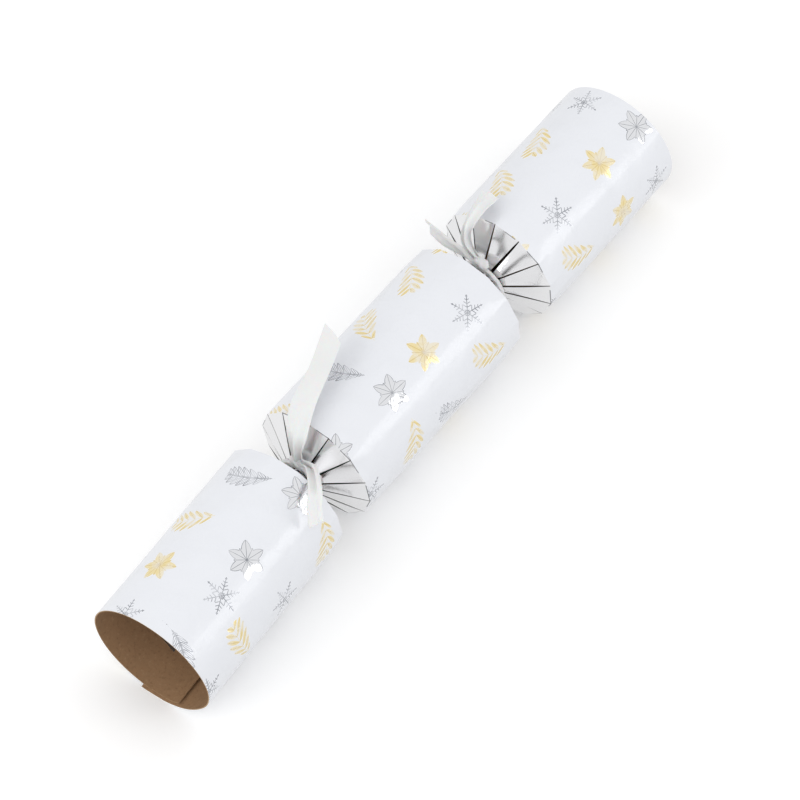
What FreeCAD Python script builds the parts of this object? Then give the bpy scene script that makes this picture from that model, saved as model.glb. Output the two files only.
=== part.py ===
import FreeCAD, Part
import math
import os
import Sketcher
from FreeCAD import Placement, Rotation, Vector

# A snap-pull party cracker, lying on its glued seam.
# One die-cut board is rolled to a tube along X, lapped and glued underneath, and pinched
# at two necks into rings of flat petals. The board tears at the ties, so it is three nodes:
# the barrel and the two ends. Lengths in millimetres, angles in degrees.
# In a tube's section, an angle is counted from +Y towards +Z.

os.makedirs("parts", exist_ok=True)
doc = FreeCAD.newDocument("Cracker")

# ---------------------------------------------------------------- driving dimensions

SIZES = [
    ("tube_radius", 26.5, "outer radius of the rolled board, single wall"),
    ("board_thickness", 0.42, "card board, coated outside, kraft inside"),
    ("glue_gap", 0.12, "room for glue between the two layers of the lap"),
    ("glue_film", 0.06, "thickness of the dried glue"),
    ("lap_start", -115.0, "angle of the hidden edge of the board, inside the tube"),
    ("lap_end", 283.0, "angle of the outer edge of the board"),
    ("joggle_start", 215.0, "where the board starts to climb over its own edge"),
    ("joggle_end", 245.0, "where it lies on its own outside"),
    ("seam_flat_half", 4.5, "half width of the pressed flat under the lap"),
    ("petals", 14, "petals round each half neck"),
    ("throat_radius", 6.0, "radius of the petals' tips at the tie"),
    ("slit_at_rim", 0.35, "gap between petals at the crease"),
    ("slit_at_throat", 0.7, "gap between petals at the tie"),
    ("tear_gap", 0.5, "half the parting gap at the tie, under the ribbon"),
    ("crease_blend", 9.0, "length over which the round tube turns into flat facets"),
    ("barrel_length", 94.5, "barrel, crease to crease"),
    ("left_gap", 19.2, "left neck, crease to crease"),
    ("right_gap", 20.8, "right neck, crease to crease"),
    ("left_end_length", 84.5, "left end, crease to mouth"),
    ("right_end_length", 80.0, "right end, crease to mouth"),
    ("left_yaw", 3.0, "turn of the left end about its tie"),
    ("right_yaw", -0.2, "turn of the right end about its tie"),
    ("left_phase", 2.5, "angle of the first slit of the left neck"),
    ("right_phase", 8.0, "angle of the first slit of the right neck"),
    ("ribbon_width", 10.0, "satin ribbon, laid flat"),
    ("ribbon_thickness", 0.3, "satin ribbon"),
    ("card_width", 8.0, "snap card"),
    ("card_thickness", 0.35, "snap card"),
    ("card_spacing", 0.4, "gap between the two snap cards inside the sleeve"),
    ("card_overlap", 11.0, "each snap card passes the middle by this much"),
    ("card_inset", 1.0, "the snap card's end, inside the mouth"),
    ("card_drop", 0.7, "the snap card's top below the wall's inner face"),
    ("card_bend", 5.0, "radius of the snap card's two bends"),
    ("snap_turn", 21.0, "turn of the whole snap about the tube's axis"),
    ("patch_length", 8.0, "friction patches on the snap cards"),
    ("patch_thickness", 0.13, "friction patches on the snap cards"),
    ("dab_radius", 2.2, "glue dab that holds a snap card"),
    ("sleeve_length", 16.0, "paper sleeve round the two snap cards"),
    ("sleeve_paper", 0.15, "thickness of the sleeve"),
    ("sleeve_room", 0.15, "clearance inside the sleeve"),
    ("band_inner", 0.7, "ribbon band, from the throat outwards"),
    ("band_depth", 4.2, "ribbon band, its radial depth"),
    ("band_half", 1.5, "ribbon band, half its width along the tube"),
    ("top_radius", 9.0, "spinning top, its disc"),
    ("top_height", 8.0, "spinning top, its disc"),
    ("spindle_radius", 1.5, "spinning top, its spindle"),
    ("spindle_length", 26.0, "spinning top, its spindle"),
    ("top_tilt", 38.0, "how the spinning top leans in the barrel"),
    ("hat_length", 40.0, "paper hat, folded"),
    ("hat_leaf", 0.4, "one leaf of folded tissue"),
    ("hat_pitch", 0.6, "leaf to leaf"),
    ("hat_fold", 22.0, "width of the folded hat"),
    ("hat_leaves", 7, "leaves of the folded hat"),
    ("slip_length", 62.0, "motto slip along the barrel"),
    ("slip_paper", 0.15, "thickness of the motto slip"),
    ("slip_radius", 25.6, "outer radius of the curled slip"),
    ("slip_start", -15.0, "where the curled slip starts on the wall"),
    ("slip_end", 60.0, "where it ends"),
]

sheet = doc.addObject("Spreadsheet::Sheet", "Sizes")
sheet.Label = "Sizes"
for row, (alias, value, note) in enumerate(SIZES, start=1):
    sheet.set("A%d" % row, alias)
    sheet.set("B%d" % row, str(value))
    sheet.set("C%d" % row, note)
    sheet.setAlias("B%d" % row, alias)
doc.recompute()


def size(alias):
    """A driving dimension, read from the sheet."""
    return float(sheet.get(alias))


R = size("tube_radius")
T = size("board_thickness")
PETALS = int(size("petals"))
CHORDS = 3  # parts of one petal's share of the round ring where it turns flat
FLAP_RADIUS = R + size("glue_gap") + T
FLAT_DEPTH = math.sqrt(FLAP_RADIUS ** 2 - size("seam_flat_half") ** 2)

# The same two values for the sheet's own formulas.
FLAP_RULE = "(Sizes.tube_radius + Sizes.glue_gap + Sizes.board_thickness)"
FLAT_RULE = "sqrt(%s ^ 2 - Sizes.seam_flat_half ^ 2)" % FLAP_RULE

LEFT_TIE = -size("barrel_length") / 2 - size("left_gap") / 2
RIGHT_TIE = size("barrel_length") / 2 + size("right_gap") / 2


# ---------------------------------------------------------------- drawing helpers

def at(radius, angle):
    """A point of a section, from its radius and its angle."""
    turn = math.radians(angle)
    return Vector(radius * math.cos(turn), radius * math.sin(turn), 0)


def new_body(label):
    """An empty body with its own label."""
    body = doc.addObject("PartDesign::Body", label)
    body.Label = label
    return body


def origin_part(body, role):
    """One of the body's own origin planes or axes."""
    for feature in body.Origin.OriginFeatures:
        if feature.Role == role:
            return feature
    raise ValueError(role)


def new_sketch(body, name, role, offset=None, turn=None):
    """A sketch on an origin plane, moved along the plane's normal and turned about it."""
    sketch = body.newObject("Sketcher::SketchObject", name)
    sketch.AttachmentSupport = (origin_part(body, role), [""])
    sketch.MapMode = "FlatFace"
    sketch.AttachmentOffset = Placement(Vector(), Rotation(Vector(0, 0, 1), 1))
    sketch.setExpression("AttachmentOffset.Rotation.Angle", turn or "0 deg")
    if offset:
        sketch.setExpression("AttachmentOffset.Base.z", offset)
    doc.recompute()
    return sketch


def rule(sketch, constraint, expression=None):
    """Adds a constraint and binds it to the sheet."""
    index = sketch.addConstraint(constraint)
    if expression:
        sketch.setExpression("Constraints[%d]" % index, expression)
    return index


def add_arc(sketch, radius, start, end, expression):
    """An arc about the sketch's origin, whose radius follows the sheet."""
    circle = Part.Circle(Vector(), Vector(0, 0, 1), radius)
    arc = Part.ArcOfCircle(circle, math.radians(start), math.radians(end))
    index = sketch.addGeometry(arc, False)
    rule(sketch, Sketcher.Constraint("Coincident", index, 3, -1, 1))
    rule(sketch, Sketcher.Constraint("Radius", index, radius), expression)
    return index


def add_radial(sketch, inner, outer, angle, expression, construction=False):
    """A line that points away from the origin at an angle that follows the sheet."""
    line = Part.LineSegment(at(inner, angle), at(outer, angle))
    index = sketch.addGeometry(line, construction)
    if construction:
        rule(sketch, Sketcher.Constraint("Coincident", index, 1, -1, 1))
    else:
        rule(sketch, Sketcher.Constraint("PointOnObject", -1, 1, index))
    rule(sketch, Sketcher.Constraint("Angle", index, math.radians(angle % 360)), expression)
    return index


def add_flat(sketch, radius, expression):
    """The flat pressed into a round face at the bottom: a level line."""
    depth = FLAT_DEPTH - (FLAP_RADIUS - radius)
    half = math.sqrt(radius ** 2 - depth ** 2)
    line = Part.LineSegment(Vector(-half, -depth, 0), Vector(half, -depth, 0))
    index = sketch.addGeometry(line, False)
    rule(sketch, Sketcher.Constraint("Horizontal", index))
    depth_rule = "%s - (%s - %s)" % (FLAT_RULE, FLAP_RULE, expression)
    rule(sketch, Sketcher.Constraint("DistanceY", index, 1, -1, 1, depth), depth_rule)
    return index


def flat_angle(radius):
    """How far the flat in a round face reaches to each side of straight down."""
    depth = FLAT_DEPTH - (FLAP_RADIUS - radius)
    return math.degrees(math.acos(depth / radius))


def join(sketch, first, first_end, second, second_end):
    """Two ends of edges meet."""
    rule(sketch, Sketcher.Constraint("Coincident", first, first_end, second, second_end))


def face_over_flat(sketch, radius, expression, start, end):
    """A round face over the bottom with the flat in it: arc, line, arc."""
    half = flat_angle(radius)
    before = add_arc(sketch, radius, start, -90 - half, expression)
    flat = add_flat(sketch, radius, expression)
    after = add_arc(sketch, radius, -90 + half, end, expression)
    join(sketch, before, 2, flat, 1)
    join(sketch, flat, 2, after, 1)
    return before, after


def add_joggle(sketch, inner, outer, start, end, expression):
    """The board's face climbs from one radius to the other, on an arc of their mean."""
    first = at(inner, start)
    last = at(outer, end)
    radius = (inner + outer) / 2
    chord = last - first
    middle = (first + last) / 2
    depth = math.sqrt(radius ** 2 - (chord.Length / 2) ** 2)
    inwards = Vector(-chord.y, chord.x, 0).normalize()
    centre = middle + inwards * depth
    a = math.atan2(first.y - centre.y, first.x - centre.x)
    b = math.atan2(last.y - centre.y, last.x - centre.x)
    circle = Part.Circle(centre, Vector(0, 0, 1), radius)
    index = sketch.addGeometry(Part.ArcOfCircle(circle, a, b), False)
    rule(sketch, Sketcher.Constraint("Radius", index, radius), expression)
    return index


def check_sketch(sketch):
    """A sketch that doesn't solve stops the build."""
    if sketch.solve() != 0:
        raise RuntimeError("sketch does not solve: %s %d" % (sketch.Name, sketch.solve()))


# ---------------------------------------------------------------- the rolled board

def wall_section(body, name, offset):
    """The board's section: one turn, a joggle and a flap lapped on its own outside."""
    sketch = new_sketch(body, name, "YZ_Plane", offset)
    start = size("lap_start")
    end = size("lap_end") - 360
    climb = size("joggle_start")
    landed = size("joggle_end") - 360
    outer = "Sizes.tube_radius"
    inner = "(Sizes.tube_radius - Sizes.board_thickness)"
    under = "(Sizes.tube_radius + Sizes.glue_gap)"
    under_radius = R + size("glue_gap")

    hidden_edge = add_radial(sketch, R - T, R, start, "Sizes.lap_start * 1 deg + 360 deg")
    outside = face_over_flat(sketch, R, outer, start, climb)
    climb_out = add_joggle(sketch, R, FLAP_RADIUS, climb, landed,
                           "(%s + %s) / 2" % (outer, FLAP_RULE))
    flap_out = face_over_flat(sketch, FLAP_RADIUS, FLAP_RULE, landed, end)
    flap_edge = add_radial(sketch, under_radius, FLAP_RADIUS, end, "Sizes.lap_end * 1 deg")
    flap_in = face_over_flat(sketch, under_radius, under, landed, end)
    climb_in = add_joggle(sketch, R - T, under_radius, climb, landed,
                          "(%s + %s) / 2" % (inner, under))
    inside = face_over_flat(sketch, R - T, inner, start, climb)

    join(sketch, hidden_edge, 2, outside[0], 1)
    join(sketch, outside[1], 2, climb_out, 1)
    join(sketch, climb_out, 2, flap_out[0], 1)
    join(sketch, flap_out[1], 2, flap_edge, 2)
    join(sketch, flap_edge, 1, flap_in[1], 2)
    join(sketch, flap_in[0], 1, climb_in, 2)
    join(sketch, climb_in, 1, inside[1], 2)
    join(sketch, inside[0], 1, hidden_edge, 1)

    # Construction rays hold the joggle's two ends.
    first_ray = add_radial(sketch, 0, R, climb, "Sizes.joggle_start * 1 deg", True)
    join(sketch, first_ray, 2, outside[1], 2)
    rule(sketch, Sketcher.Constraint("PointOnObject", inside[1], 2, first_ray))
    last_ray = add_radial(sketch, 0, FLAP_RADIUS, landed, "Sizes.joggle_end * 1 deg", True)
    join(sketch, last_ray, 2, flap_out[0], 1)
    rule(sketch, Sketcher.Constraint("PointOnObject", flap_in[0], 1, last_ray))
    check_sketch(sketch)
    return sketch


def pad(body, name, sketch, length, midplane=False):
    """A pad whose length follows the sheet."""
    feature = body.newObject("PartDesign::Pad", name)
    feature.Profile = sketch
    feature.setExpression("Length", length)
    feature.Midplane = midplane
    doc.recompute()
    body.Tip = feature
    return feature


def facet_ring(body, name, offset, phase, faceted):
    """A ring of the board, round or in flat facets, with each petal's chord in short parts."""
    sketch = new_sketch(body, name, "YZ_Plane", offset, phase)
    parts = PETALS * CHORDS
    for radius, expression in (
        (R, "Sizes.tube_radius"),
        (R - T, "Sizes.tube_radius - Sizes.board_thickness"),
    ):
        guide = sketch.addGeometry(Part.Circle(Vector(), Vector(0, 0, 1), radius), True)
        rule(sketch, Sketcher.Constraint("Coincident", guide, 3, -1, 1))
        rule(sketch, Sketcher.Constraint("Radius", guide, radius), expression)
        corners = []
        for k in range(parts):
            petal, part = divmod(k, CHORDS)
            first = at(radius, petal * 360.0 / PETALS)
            last = at(radius, (petal + 1) * 360.0 / PETALS)
            share = part / CHORDS
            if faceted:
                corners.append(first * (1 - share) + last * share)
            else:
                corners.append(at(radius, k * 360.0 / parts))
        edges = [sketch.addGeometry(Part.LineSegment(corner, corners[(k + 1) % parts]), False)
                 for k, corner in enumerate(corners)]
        for k in range(parts):
            join(sketch, edges[k], 2, edges[(k + 1) % parts], 1)
            if faceted and k % CHORDS:
                rule(sketch, Sketcher.Constraint("Parallel", edges[k - 1], edges[k]))
            else:
                rule(sketch, Sketcher.Constraint("PointOnObject", edges[k], 1, guide))
            if k > 0:
                rule(sketch, Sketcher.Constraint("Equal", edges[k - 1], edges[k]))
        rule(sketch, Sketcher.Constraint("PointOnObject", edges[0], 1, -1))
    check_sketch(sketch)
    return sketch


def loft(body, name, profile, section):
    """A straight loft between two sketches."""
    feature = body.newObject("PartDesign::AdditiveLoft", name)
    feature.Profile = profile
    feature.Sections = [section]
    feature.Ruled = True
    doc.recompute()
    body.Tip = feature
    return feature


def petal_section(body, name, offset, turn, apothem, half_width, depth):
    """The section of one petal across the tube: a rectangle that faces outwards."""
    sketch = new_sketch(body, name, "YZ_Plane", offset, turn)
    corners = [Vector(-5, 9, 0), Vector(5, 9, 0), Vector(5, 10, 0), Vector(-5, 10, 0)]
    for k in range(4):
        sketch.addGeometry(Part.LineSegment(corners[k], corners[(k + 1) % 4]), False)
    for k in range(4):
        join(sketch, k, 2, (k + 1) % 4, 1)
    rule(sketch, Sketcher.Constraint("Horizontal", 0))
    for k in (1, 3):
        rule(sketch, Sketcher.Constraint("Vertical", k))
    rule(sketch, Sketcher.Constraint("Symmetric", 2, 1, 2, 2, -2))
    rule(sketch, Sketcher.Constraint("DistanceX", -1, 1, 2, 1, 5), half_width)
    rule(sketch, Sketcher.Constraint("DistanceY", -1, 1, 2, 1, 10), apothem)
    rule(sketch, Sketcher.Constraint("DistanceY", 1, 1, 1, 2, 1), depth)
    doc.recompute()
    check_sketch(sketch)
    return sketch


def petal_ring(body, side, crease, tie, reach, phase):
    """Flat petals that close a tube's end like a shutter: one loft and its pattern."""
    half_pitch = "180 deg / Sizes.petals"
    turn = "%s + %s - 90 deg" % (phase, half_pitch)
    rim = "Sizes.tube_radius * cos(%s)" % half_pitch
    throat = "Sizes.throat_radius * cos(%s)" % half_pitch
    # A petal is as thick as the board, measured square to its own slope.
    depth = ("Sizes.board_thickness * sqrt(((Sizes.tube_radius - Sizes.throat_radius)"
             " * cos(%s) / (%s)) ^ 2 + 1)" % (half_pitch, reach))
    wide = "Sizes.tube_radius * sin(%s) - Sizes.slit_at_rim / 2" % half_pitch
    narrow = "Sizes.throat_radius * sin(%s) - Sizes.slit_at_throat / 2" % half_pitch
    at_crease = petal_section(body, side + "_petal_rim", crease, turn, rim, wide, depth)
    at_tie = petal_section(body, side + "_petal_tip", tie, turn, throat, narrow, depth)
    petal = loft(body, side + "_petal", at_crease, at_tie)
    ring = body.newObject("PartDesign::PolarPattern", side + "_petals")
    ring.Originals = [petal]
    ring.Axis = (origin_part(body, "X_Axis"), [""])
    ring.Angle = 360
    ring.setExpression("Occurrences", "Sizes.petals")
    body.Tip = ring
    doc.recompute()
    return ring


def neck(body, side, crease, inward, outward, gap, phase):
    """A tube's pinched end: the round wall turns into facets, and each ends in a petal.

    inward and outward are the signs, along X, of the ways into the tube and to the tie."""
    blend_start = "%s %s Sizes.crease_blend" % (crease, inward)
    reach = "(%s / 2 - Sizes.tear_gap / 2)" % gap
    tie = "%s %s %s" % (crease, outward, reach)
    angle = "%s * 1 deg" % phase
    round_ring = facet_ring(body, side + "_round", blend_start, angle, False)
    flat_ring = facet_ring(body, side + "_facets", crease, angle, True)
    loft(body, side + "_crease", round_ring, flat_ring)
    petal_ring(body, side, crease, tie, reach, angle)


def board(label, low, high, necks, placement):
    """One tube of the board between two places along X, pinched where it has a neck."""
    body = new_body(label)
    low_plain = low + (" + Sizes.crease_blend" if "low" in necks else "")
    high_plain = high + (" - Sizes.crease_blend" if "high" in necks else "")
    section = wall_section(body, label + "_section", low_plain)
    pad(body, label + "_wall", section, "(%s) - (%s)" % (high_plain, low_plain))
    if "low" in necks:
        gap, phase = necks["low"]
        neck(body, label + "_low", low, "+", "-", gap, phase)
    if "high" in necks:
        gap, phase = necks["high"]
        neck(body, label + "_high", high, "-", "+", gap, phase)
    body.Placement = placement
    doc.recompute()
    return body


# The three tubes. The ends are drawn from their tie, about which they are turned.
AXIS_HEIGHT = FLAT_DEPTH
BARREL_PLACE = Placement(Vector(0, 0, AXIS_HEIGHT), Rotation())
LEFT_PLACE = Placement(
    Vector(LEFT_TIE, 0, AXIS_HEIGHT), Rotation(Vector(0, 0, 1), size("left_yaw")))
RIGHT_PLACE = Placement(
    Vector(RIGHT_TIE, 0, AXIS_HEIGHT), Rotation(Vector(0, 0, 1), size("right_yaw")))

LEFT_NECK = ("Sizes.left_gap", "Sizes.left_phase")
RIGHT_NECK = ("Sizes.right_gap", "Sizes.right_phase")
BARREL_LOW = "-Sizes.barrel_length / 2"
BARREL_HIGH = "Sizes.barrel_length / 2"
LEFT_CREASE = "-Sizes.left_gap / 2"
LEFT_MOUTH = "-Sizes.left_gap / 2 - Sizes.left_end_length"
RIGHT_CREASE = "Sizes.right_gap / 2"
RIGHT_MOUTH = "Sizes.right_gap / 2 + Sizes.right_end_length"

nodes = [
    board("barrel_board", BARREL_LOW, BARREL_HIGH,
          {"low": LEFT_NECK, "high": RIGHT_NECK}, BARREL_PLACE),
    board("left_end_board", LEFT_MOUTH, LEFT_CREASE, {"high": LEFT_NECK}, LEFT_PLACE),
    board("right_end_board", RIGHT_CREASE, RIGHT_MOUTH, {"low": RIGHT_NECK}, RIGHT_PLACE),
]


# ---------------------------------------------------------------- seam glue

def seam_glue(label, low, high, placement):
    """The dried film of glue between the two layers of the lap."""
    body = new_body(label)
    sketch = new_sketch(body, label + "_section", "YZ_Plane", low)
    room = (size("glue_gap") - size("glue_film")) / 2
    near = "(Sizes.tube_radius + (Sizes.glue_gap - Sizes.glue_film) / 2)"
    far = "(Sizes.tube_radius + (Sizes.glue_gap + Sizes.glue_film) / 2)"
    start = size("lap_start") + GLUE_MARGIN
    end = size("lap_end") - 360 - GLUE_MARGIN
    inner = (R + room, near)
    outer = (R + room + size("glue_film"), far)
    faces = []
    for radius, expression in (inner, outer):
        faces.append(face_over_flat(sketch, radius, expression, start, end))
    first = add_radial(sketch, inner[0], outer[0], start,
                       "(Sizes.lap_start + %s + 360) * 1 deg" % GLUE_MARGIN)
    last = add_radial(sketch, inner[0], outer[0], end,
                      "(Sizes.lap_end - %s) * 1 deg" % GLUE_MARGIN)
    join(sketch, first, 1, faces[0][0], 1)
    join(sketch, first, 2, faces[1][0], 1)
    join(sketch, last, 1, faces[0][1], 2)
    join(sketch, last, 2, faces[1][1], 2)
    check_sketch(sketch)
    pad(body, label + "_film", sketch, "(%s) - (%s)" % (high, low))
    body.Placement = placement
    doc.recompute()
    return body


# The glue stops short of the lap's two edges, in degrees, and of its ends, in millimetres.
GLUE_MARGIN = 3.0
END_MARGIN = " - 1.5"
START_MARGIN = " + 1.5"
BLEND_IN = " + Sizes.crease_blend"
BLEND_OUT = " - Sizes.crease_blend"
nodes += [
    seam_glue("barrel_seam_glue", BARREL_LOW + BLEND_IN + START_MARGIN,
              BARREL_HIGH + BLEND_OUT + END_MARGIN, BARREL_PLACE),
    seam_glue("left_seam_glue", LEFT_MOUTH + START_MARGIN,
              LEFT_CREASE + BLEND_OUT + END_MARGIN, LEFT_PLACE),
    seam_glue("right_seam_glue", RIGHT_CREASE + BLEND_IN + START_MARGIN,
              RIGHT_MOUTH + END_MARGIN, RIGHT_PLACE),
]


# ---------------------------------------------------------------- ribbons

def smooth(points, steps):
    """Points at even steps of a smooth curve through the given ones."""
    curve = Part.BSplineCurve()
    curve.interpolate(points)
    low, high = curve.FirstParameter, curve.LastParameter
    return [curve.value(low + (high - low) * k / steps) for k in range(steps + 1)]


def band_through(middles, halves, half_thickness):
    """A thin band: its two faces and two edges run through a row of cross-sections.

    middles are the middle points, and halves point from them to the band's edge."""
    sections = []
    last = len(middles) - 1
    for k, middle in enumerate(middles):
        along = (middles[min(k + 1, last)] - middles[max(k - 1, 0)]).normalize()
        across = halves[k] - along * halves[k].dot(along)
        normal = along.cross(across).normalize() * half_thickness
        sections.append([middle - across - normal, middle + across - normal,
                         middle + across + normal, middle - across + normal])
    triangles = []
    for first, second in zip(sections, sections[1:]):
        for k in range(4):
            n = (k + 1) % 4
            triangles += [(first[k], first[n], second[n]), (first[k], second[n], second[k])]
    for end in (sections[0], sections[-1]):
        triangles += [(end[0], end[1], end[2]), (end[0], end[2], end[3])]
    faces = [Part.Face(Part.makePolygon([a, b, c, a])) for a, b, c in triangles]
    solid = Part.Solid(Part.makeShell(faces))
    if solid.Volume < 0:
        solid.reverse()
    return solid


def strip(stations):
    """A ribbon's tail: flat facets along a smooth path, as stiff satin falls.

    A station is a middle point, a direction across the ribbon and its share of full width."""
    half = size("ribbon_width") / 2
    steps = TAIL_STEPS * (len(stations) - 1)
    middles = smooth([Vector(*station[0]) for station in stations], steps)
    edges = smooth([Vector(*station[0]) + Vector(*station[1]).normalize() * station[2] * half
                    for station in stations], steps)
    halves = [edge - middle for edge, middle in zip(edges, middles)]
    return band_through(middles, halves, size("ribbon_thickness") / 2)


def knot():
    """A small tight knot: a soft-edged lump, drawn as rings of flat faces about Y."""
    rings = []
    for k in range(KNOT_RINGS):
        turn = math.pi * (k + 0.5) / KNOT_RINGS
        reach = math.sin(turn)
        corners = []
        for j in range(KNOT_SIDES):
            side = 2 * math.pi * (j + 0.5) / KNOT_SIDES
            corners.append(Vector(
                KNOT_HALF[0] * reach * math.cos(side),
                KNOT_SHIFT - KNOT_HALF[1] * math.cos(turn),
                KNOT_HEIGHT + KNOT_HALF[2] * reach * math.sin(side)))
        rings.append(Part.makePolygon(corners + corners[:1]))
    return Part.makeLoft(rings, True, True)


def ribbon(label, tie, tails):
    """A ribbon pulled tight into the neck: a gathered band, its knot and two loose tails."""
    low = size("throat_radius") + size("band_inner")
    high = low + size("band_depth")
    half = size("band_half")
    shoulder = high - half / 2
    profile = Part.Face(Part.makePolygon([
        Vector(-half, 0, shoulder), Vector(0, 0, low), Vector(half, 0, shoulder),
        Vector(0, 0, high), Vector(-half, 0, shoulder)]))
    band = profile.revolve(Vector(), Vector(1, 0, 0), 360)
    tied = band.fuse(knot())
    tied.translate(Vector(tie, 0, AXIS_HEIGHT))
    shape = tied.fuse([strip(tail) for tail in tails]).removeSplitter()
    feature = doc.addObject("Part::Feature", label)
    feature.Label = label
    feature.Shape = shape.Solids[0] if len(shape.Solids) == 1 else shape
    return feature


# Facets of a tail between two of its stations, and of a knot.
TAIL_STEPS = 3
KNOT_RINGS = 5
KNOT_SIDES = 10

# The knot sits in the upper side of the neck, within the wedge between the petals.
KNOT_HALF = (2.3, 3.8, 2.3)
KNOT_SHIFT = 1.0
KNOT_HEIGHT = 12.0
KNOT_TOP = AXIS_HEIGHT + KNOT_HEIGHT

# Where the loose tails run, in the frame of the whole cracker.
LEFT_TAILS = [
    [
        ((LEFT_TIE, 1.0, KNOT_TOP), (0.0, -1.0, 0.0), 0.40),
        ((-56.7, 1.8, 47.0), (0.0, -1.0, 0.0), 0.64),
        ((-54.0, 3.2, 55.0), (0.05, -1.0, 0.0), 0.84),
        ((-44.0, 8.0, 58.0), (0.29, -0.96, 0.0), 1.00),
        ((-32.5, 11.0, 59.0), (0.35, -0.93, 0.0), 1.00),
        ((-23.5, 14.0, 58.5), (0.4, -0.92, 0.0), 1.00),
        ((-14.5, 17.5, 59.0), (0.4, -0.92, 0.0), 1.00),
    ],
    [
        ((LEFT_TIE, 0.0, KNOT_TOP), (1.0, 0.0, 0.0), 0.28),
        ((-59.6, -8.0, 47.5), (0.2, -0.5, 0.8), 0.44),
        ((-69.0, -18.0, 54.9), (0.0, -0.66, 0.75), 0.84),
        ((-74.6, -22.5, 52.6), (0.0, -0.66, 0.75), 0.92),
        ((-78.5, -26.6, 49.3), (0.0, -0.66, 0.75), 0.80),
    ],
]
RIGHT_TAILS = [
    [
        ((RIGHT_TIE, 2.0, KNOT_TOP), (1.0, 0.0, 0.0), 0.28),
        ((57.0, 10.0, 40.5), (0.5, 0.38, -0.77), 0.52),
        ((55.8, 17.0, 42.2), (0.5, 0.38, -0.77), 0.72),
        ((55.4, 23.0, 44.8), (0.5, 0.38, -0.77), 0.60),
        ((55.2, 28.0, 47.2), (0.5, 0.38, -0.77), 0.24),
    ],
    [
        ((RIGHT_TIE, 1.5, KNOT_TOP), (1.0, 0.0, 0.0), 0.28),
        ((57.7, 7.0, 47.0), (0.5, -0.85, 0.0), 0.48),
        ((59.5, 8.5, 54.0), (0.3, -0.93, 0.1), 0.60),
        ((66.5, 9.5, 56.2), (0.0, -0.92, 0.38), 0.72),
        ((73.0, 10.4, 54.4), (0.0, -0.92, 0.38), 0.76),
        ((79.0, 11.5, 53.2), (0.0, -0.92, 0.38), 0.76),
    ],
]
nodes += [
    ribbon("left_ribbon", LEFT_TIE, LEFT_TAILS),
    ribbon("right_ribbon", RIGHT_TIE, RIGHT_TAILS),
]


# ---------------------------------------------------------------- the snap

def rounded(points, radius):
    """A path whose corners are short arcs, in three facets each."""
    path = [points[0]]
    for before, corner, after in zip(points, points[1:], points[2:]):
        inwards = (before - corner).normalize()
        onwards = (after - corner).normalize()
        cut = radius * math.tan((math.pi - inwards.getAngle(onwards)) / 2)
        if cut < LEAST_CUT:
            path.append(corner)
            continue
        first = corner + inwards * cut
        last = corner + onwards * cut
        for k in range(4):
            share = k / 3
            path.append(first * (1 - share) ** 2 + corner * (2 * share * (1 - share))
                        + last * share ** 2)
    return path + [points[-1]]


def snap_card(label, tie, outward, level, gap, length, yaw):
    """A snap card: straight through the barrel and the throat, then up to the end's wall.

    outward is the sign of the way from the barrel to the mouth, along X."""
    wall = R - T - size("card_drop")
    turn = Rotation(Vector(1, 0, 0), size("snap_turn"))
    yawed = Rotation(Vector(0, 0, 1), yaw) * turn
    tie_point = Vector(tie, 0, AXIS_HEIGHT)
    barrel = Vector(0, 0, AXIS_HEIGHT) + turn.multVec(
        Vector(-outward * size("card_overlap"), 0, level))
    places = [(THROAT_RUN, level), (gap / 2 + size("crease_blend") + 0.5, wall),
              (gap / 2 + length - size("card_inset"), wall)]
    points = [barrel, tie_point + turn.multVec(Vector(0, 0, level))]
    points += [tie_point + yawed.multVec(Vector(outward * x, 0, z)) for x, z in places]
    path = rounded(points, size("card_bend"))
    half = size("card_width") / 2
    flat_half = turn.multVec(Vector(0, half, 0))
    yawed_half = yawed.multVec(Vector(0, half, 0))
    halves = []
    for point in path:
        past = outward * (point.x - tie)
        halves.append(flat_half if past < 1 else yawed_half)
    feature = doc.addObject("Part::Feature", label)
    feature.Label = label
    feature.Shape = band_through(path, halves, size("card_thickness") / 2)
    return feature


def block(label, x, y, z, placement):
    """A flat piece between two places along each axis, given as sheet formulas."""
    body = new_body(label)
    sketch = new_sketch(body, label + "_plan", "XY_Plane", z[0])
    corners = [Vector(-1, -1, 0), Vector(1, -1, 0), Vector(1, 1, 0), Vector(-1, 1, 0)]
    for k in range(4):
        sketch.addGeometry(Part.LineSegment(corners[k], corners[(k + 1) % 4]), False)
    for k in range(4):
        join(sketch, k, 2, (k + 1) % 4, 1)
        rule(sketch, Sketcher.Constraint(("Horizontal", "Vertical")[k % 2], k))
    rule(sketch, Sketcher.Constraint("DistanceX", -1, 1, 0, 1, -1), x[0])
    rule(sketch, Sketcher.Constraint("DistanceX", -1, 1, 1, 2, 1), x[1])
    rule(sketch, Sketcher.Constraint("DistanceY", -1, 1, 0, 1, -1), y[0])
    rule(sketch, Sketcher.Constraint("DistanceY", -1, 1, 1, 2, 1), y[1])
    doc.recompute()
    check_sketch(sketch)
    pad(body, label + "_pad", sketch, "(%s) - (%s)" % (z[1], z[0]))
    body.Placement = placement
    doc.recompute()
    return body


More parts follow.
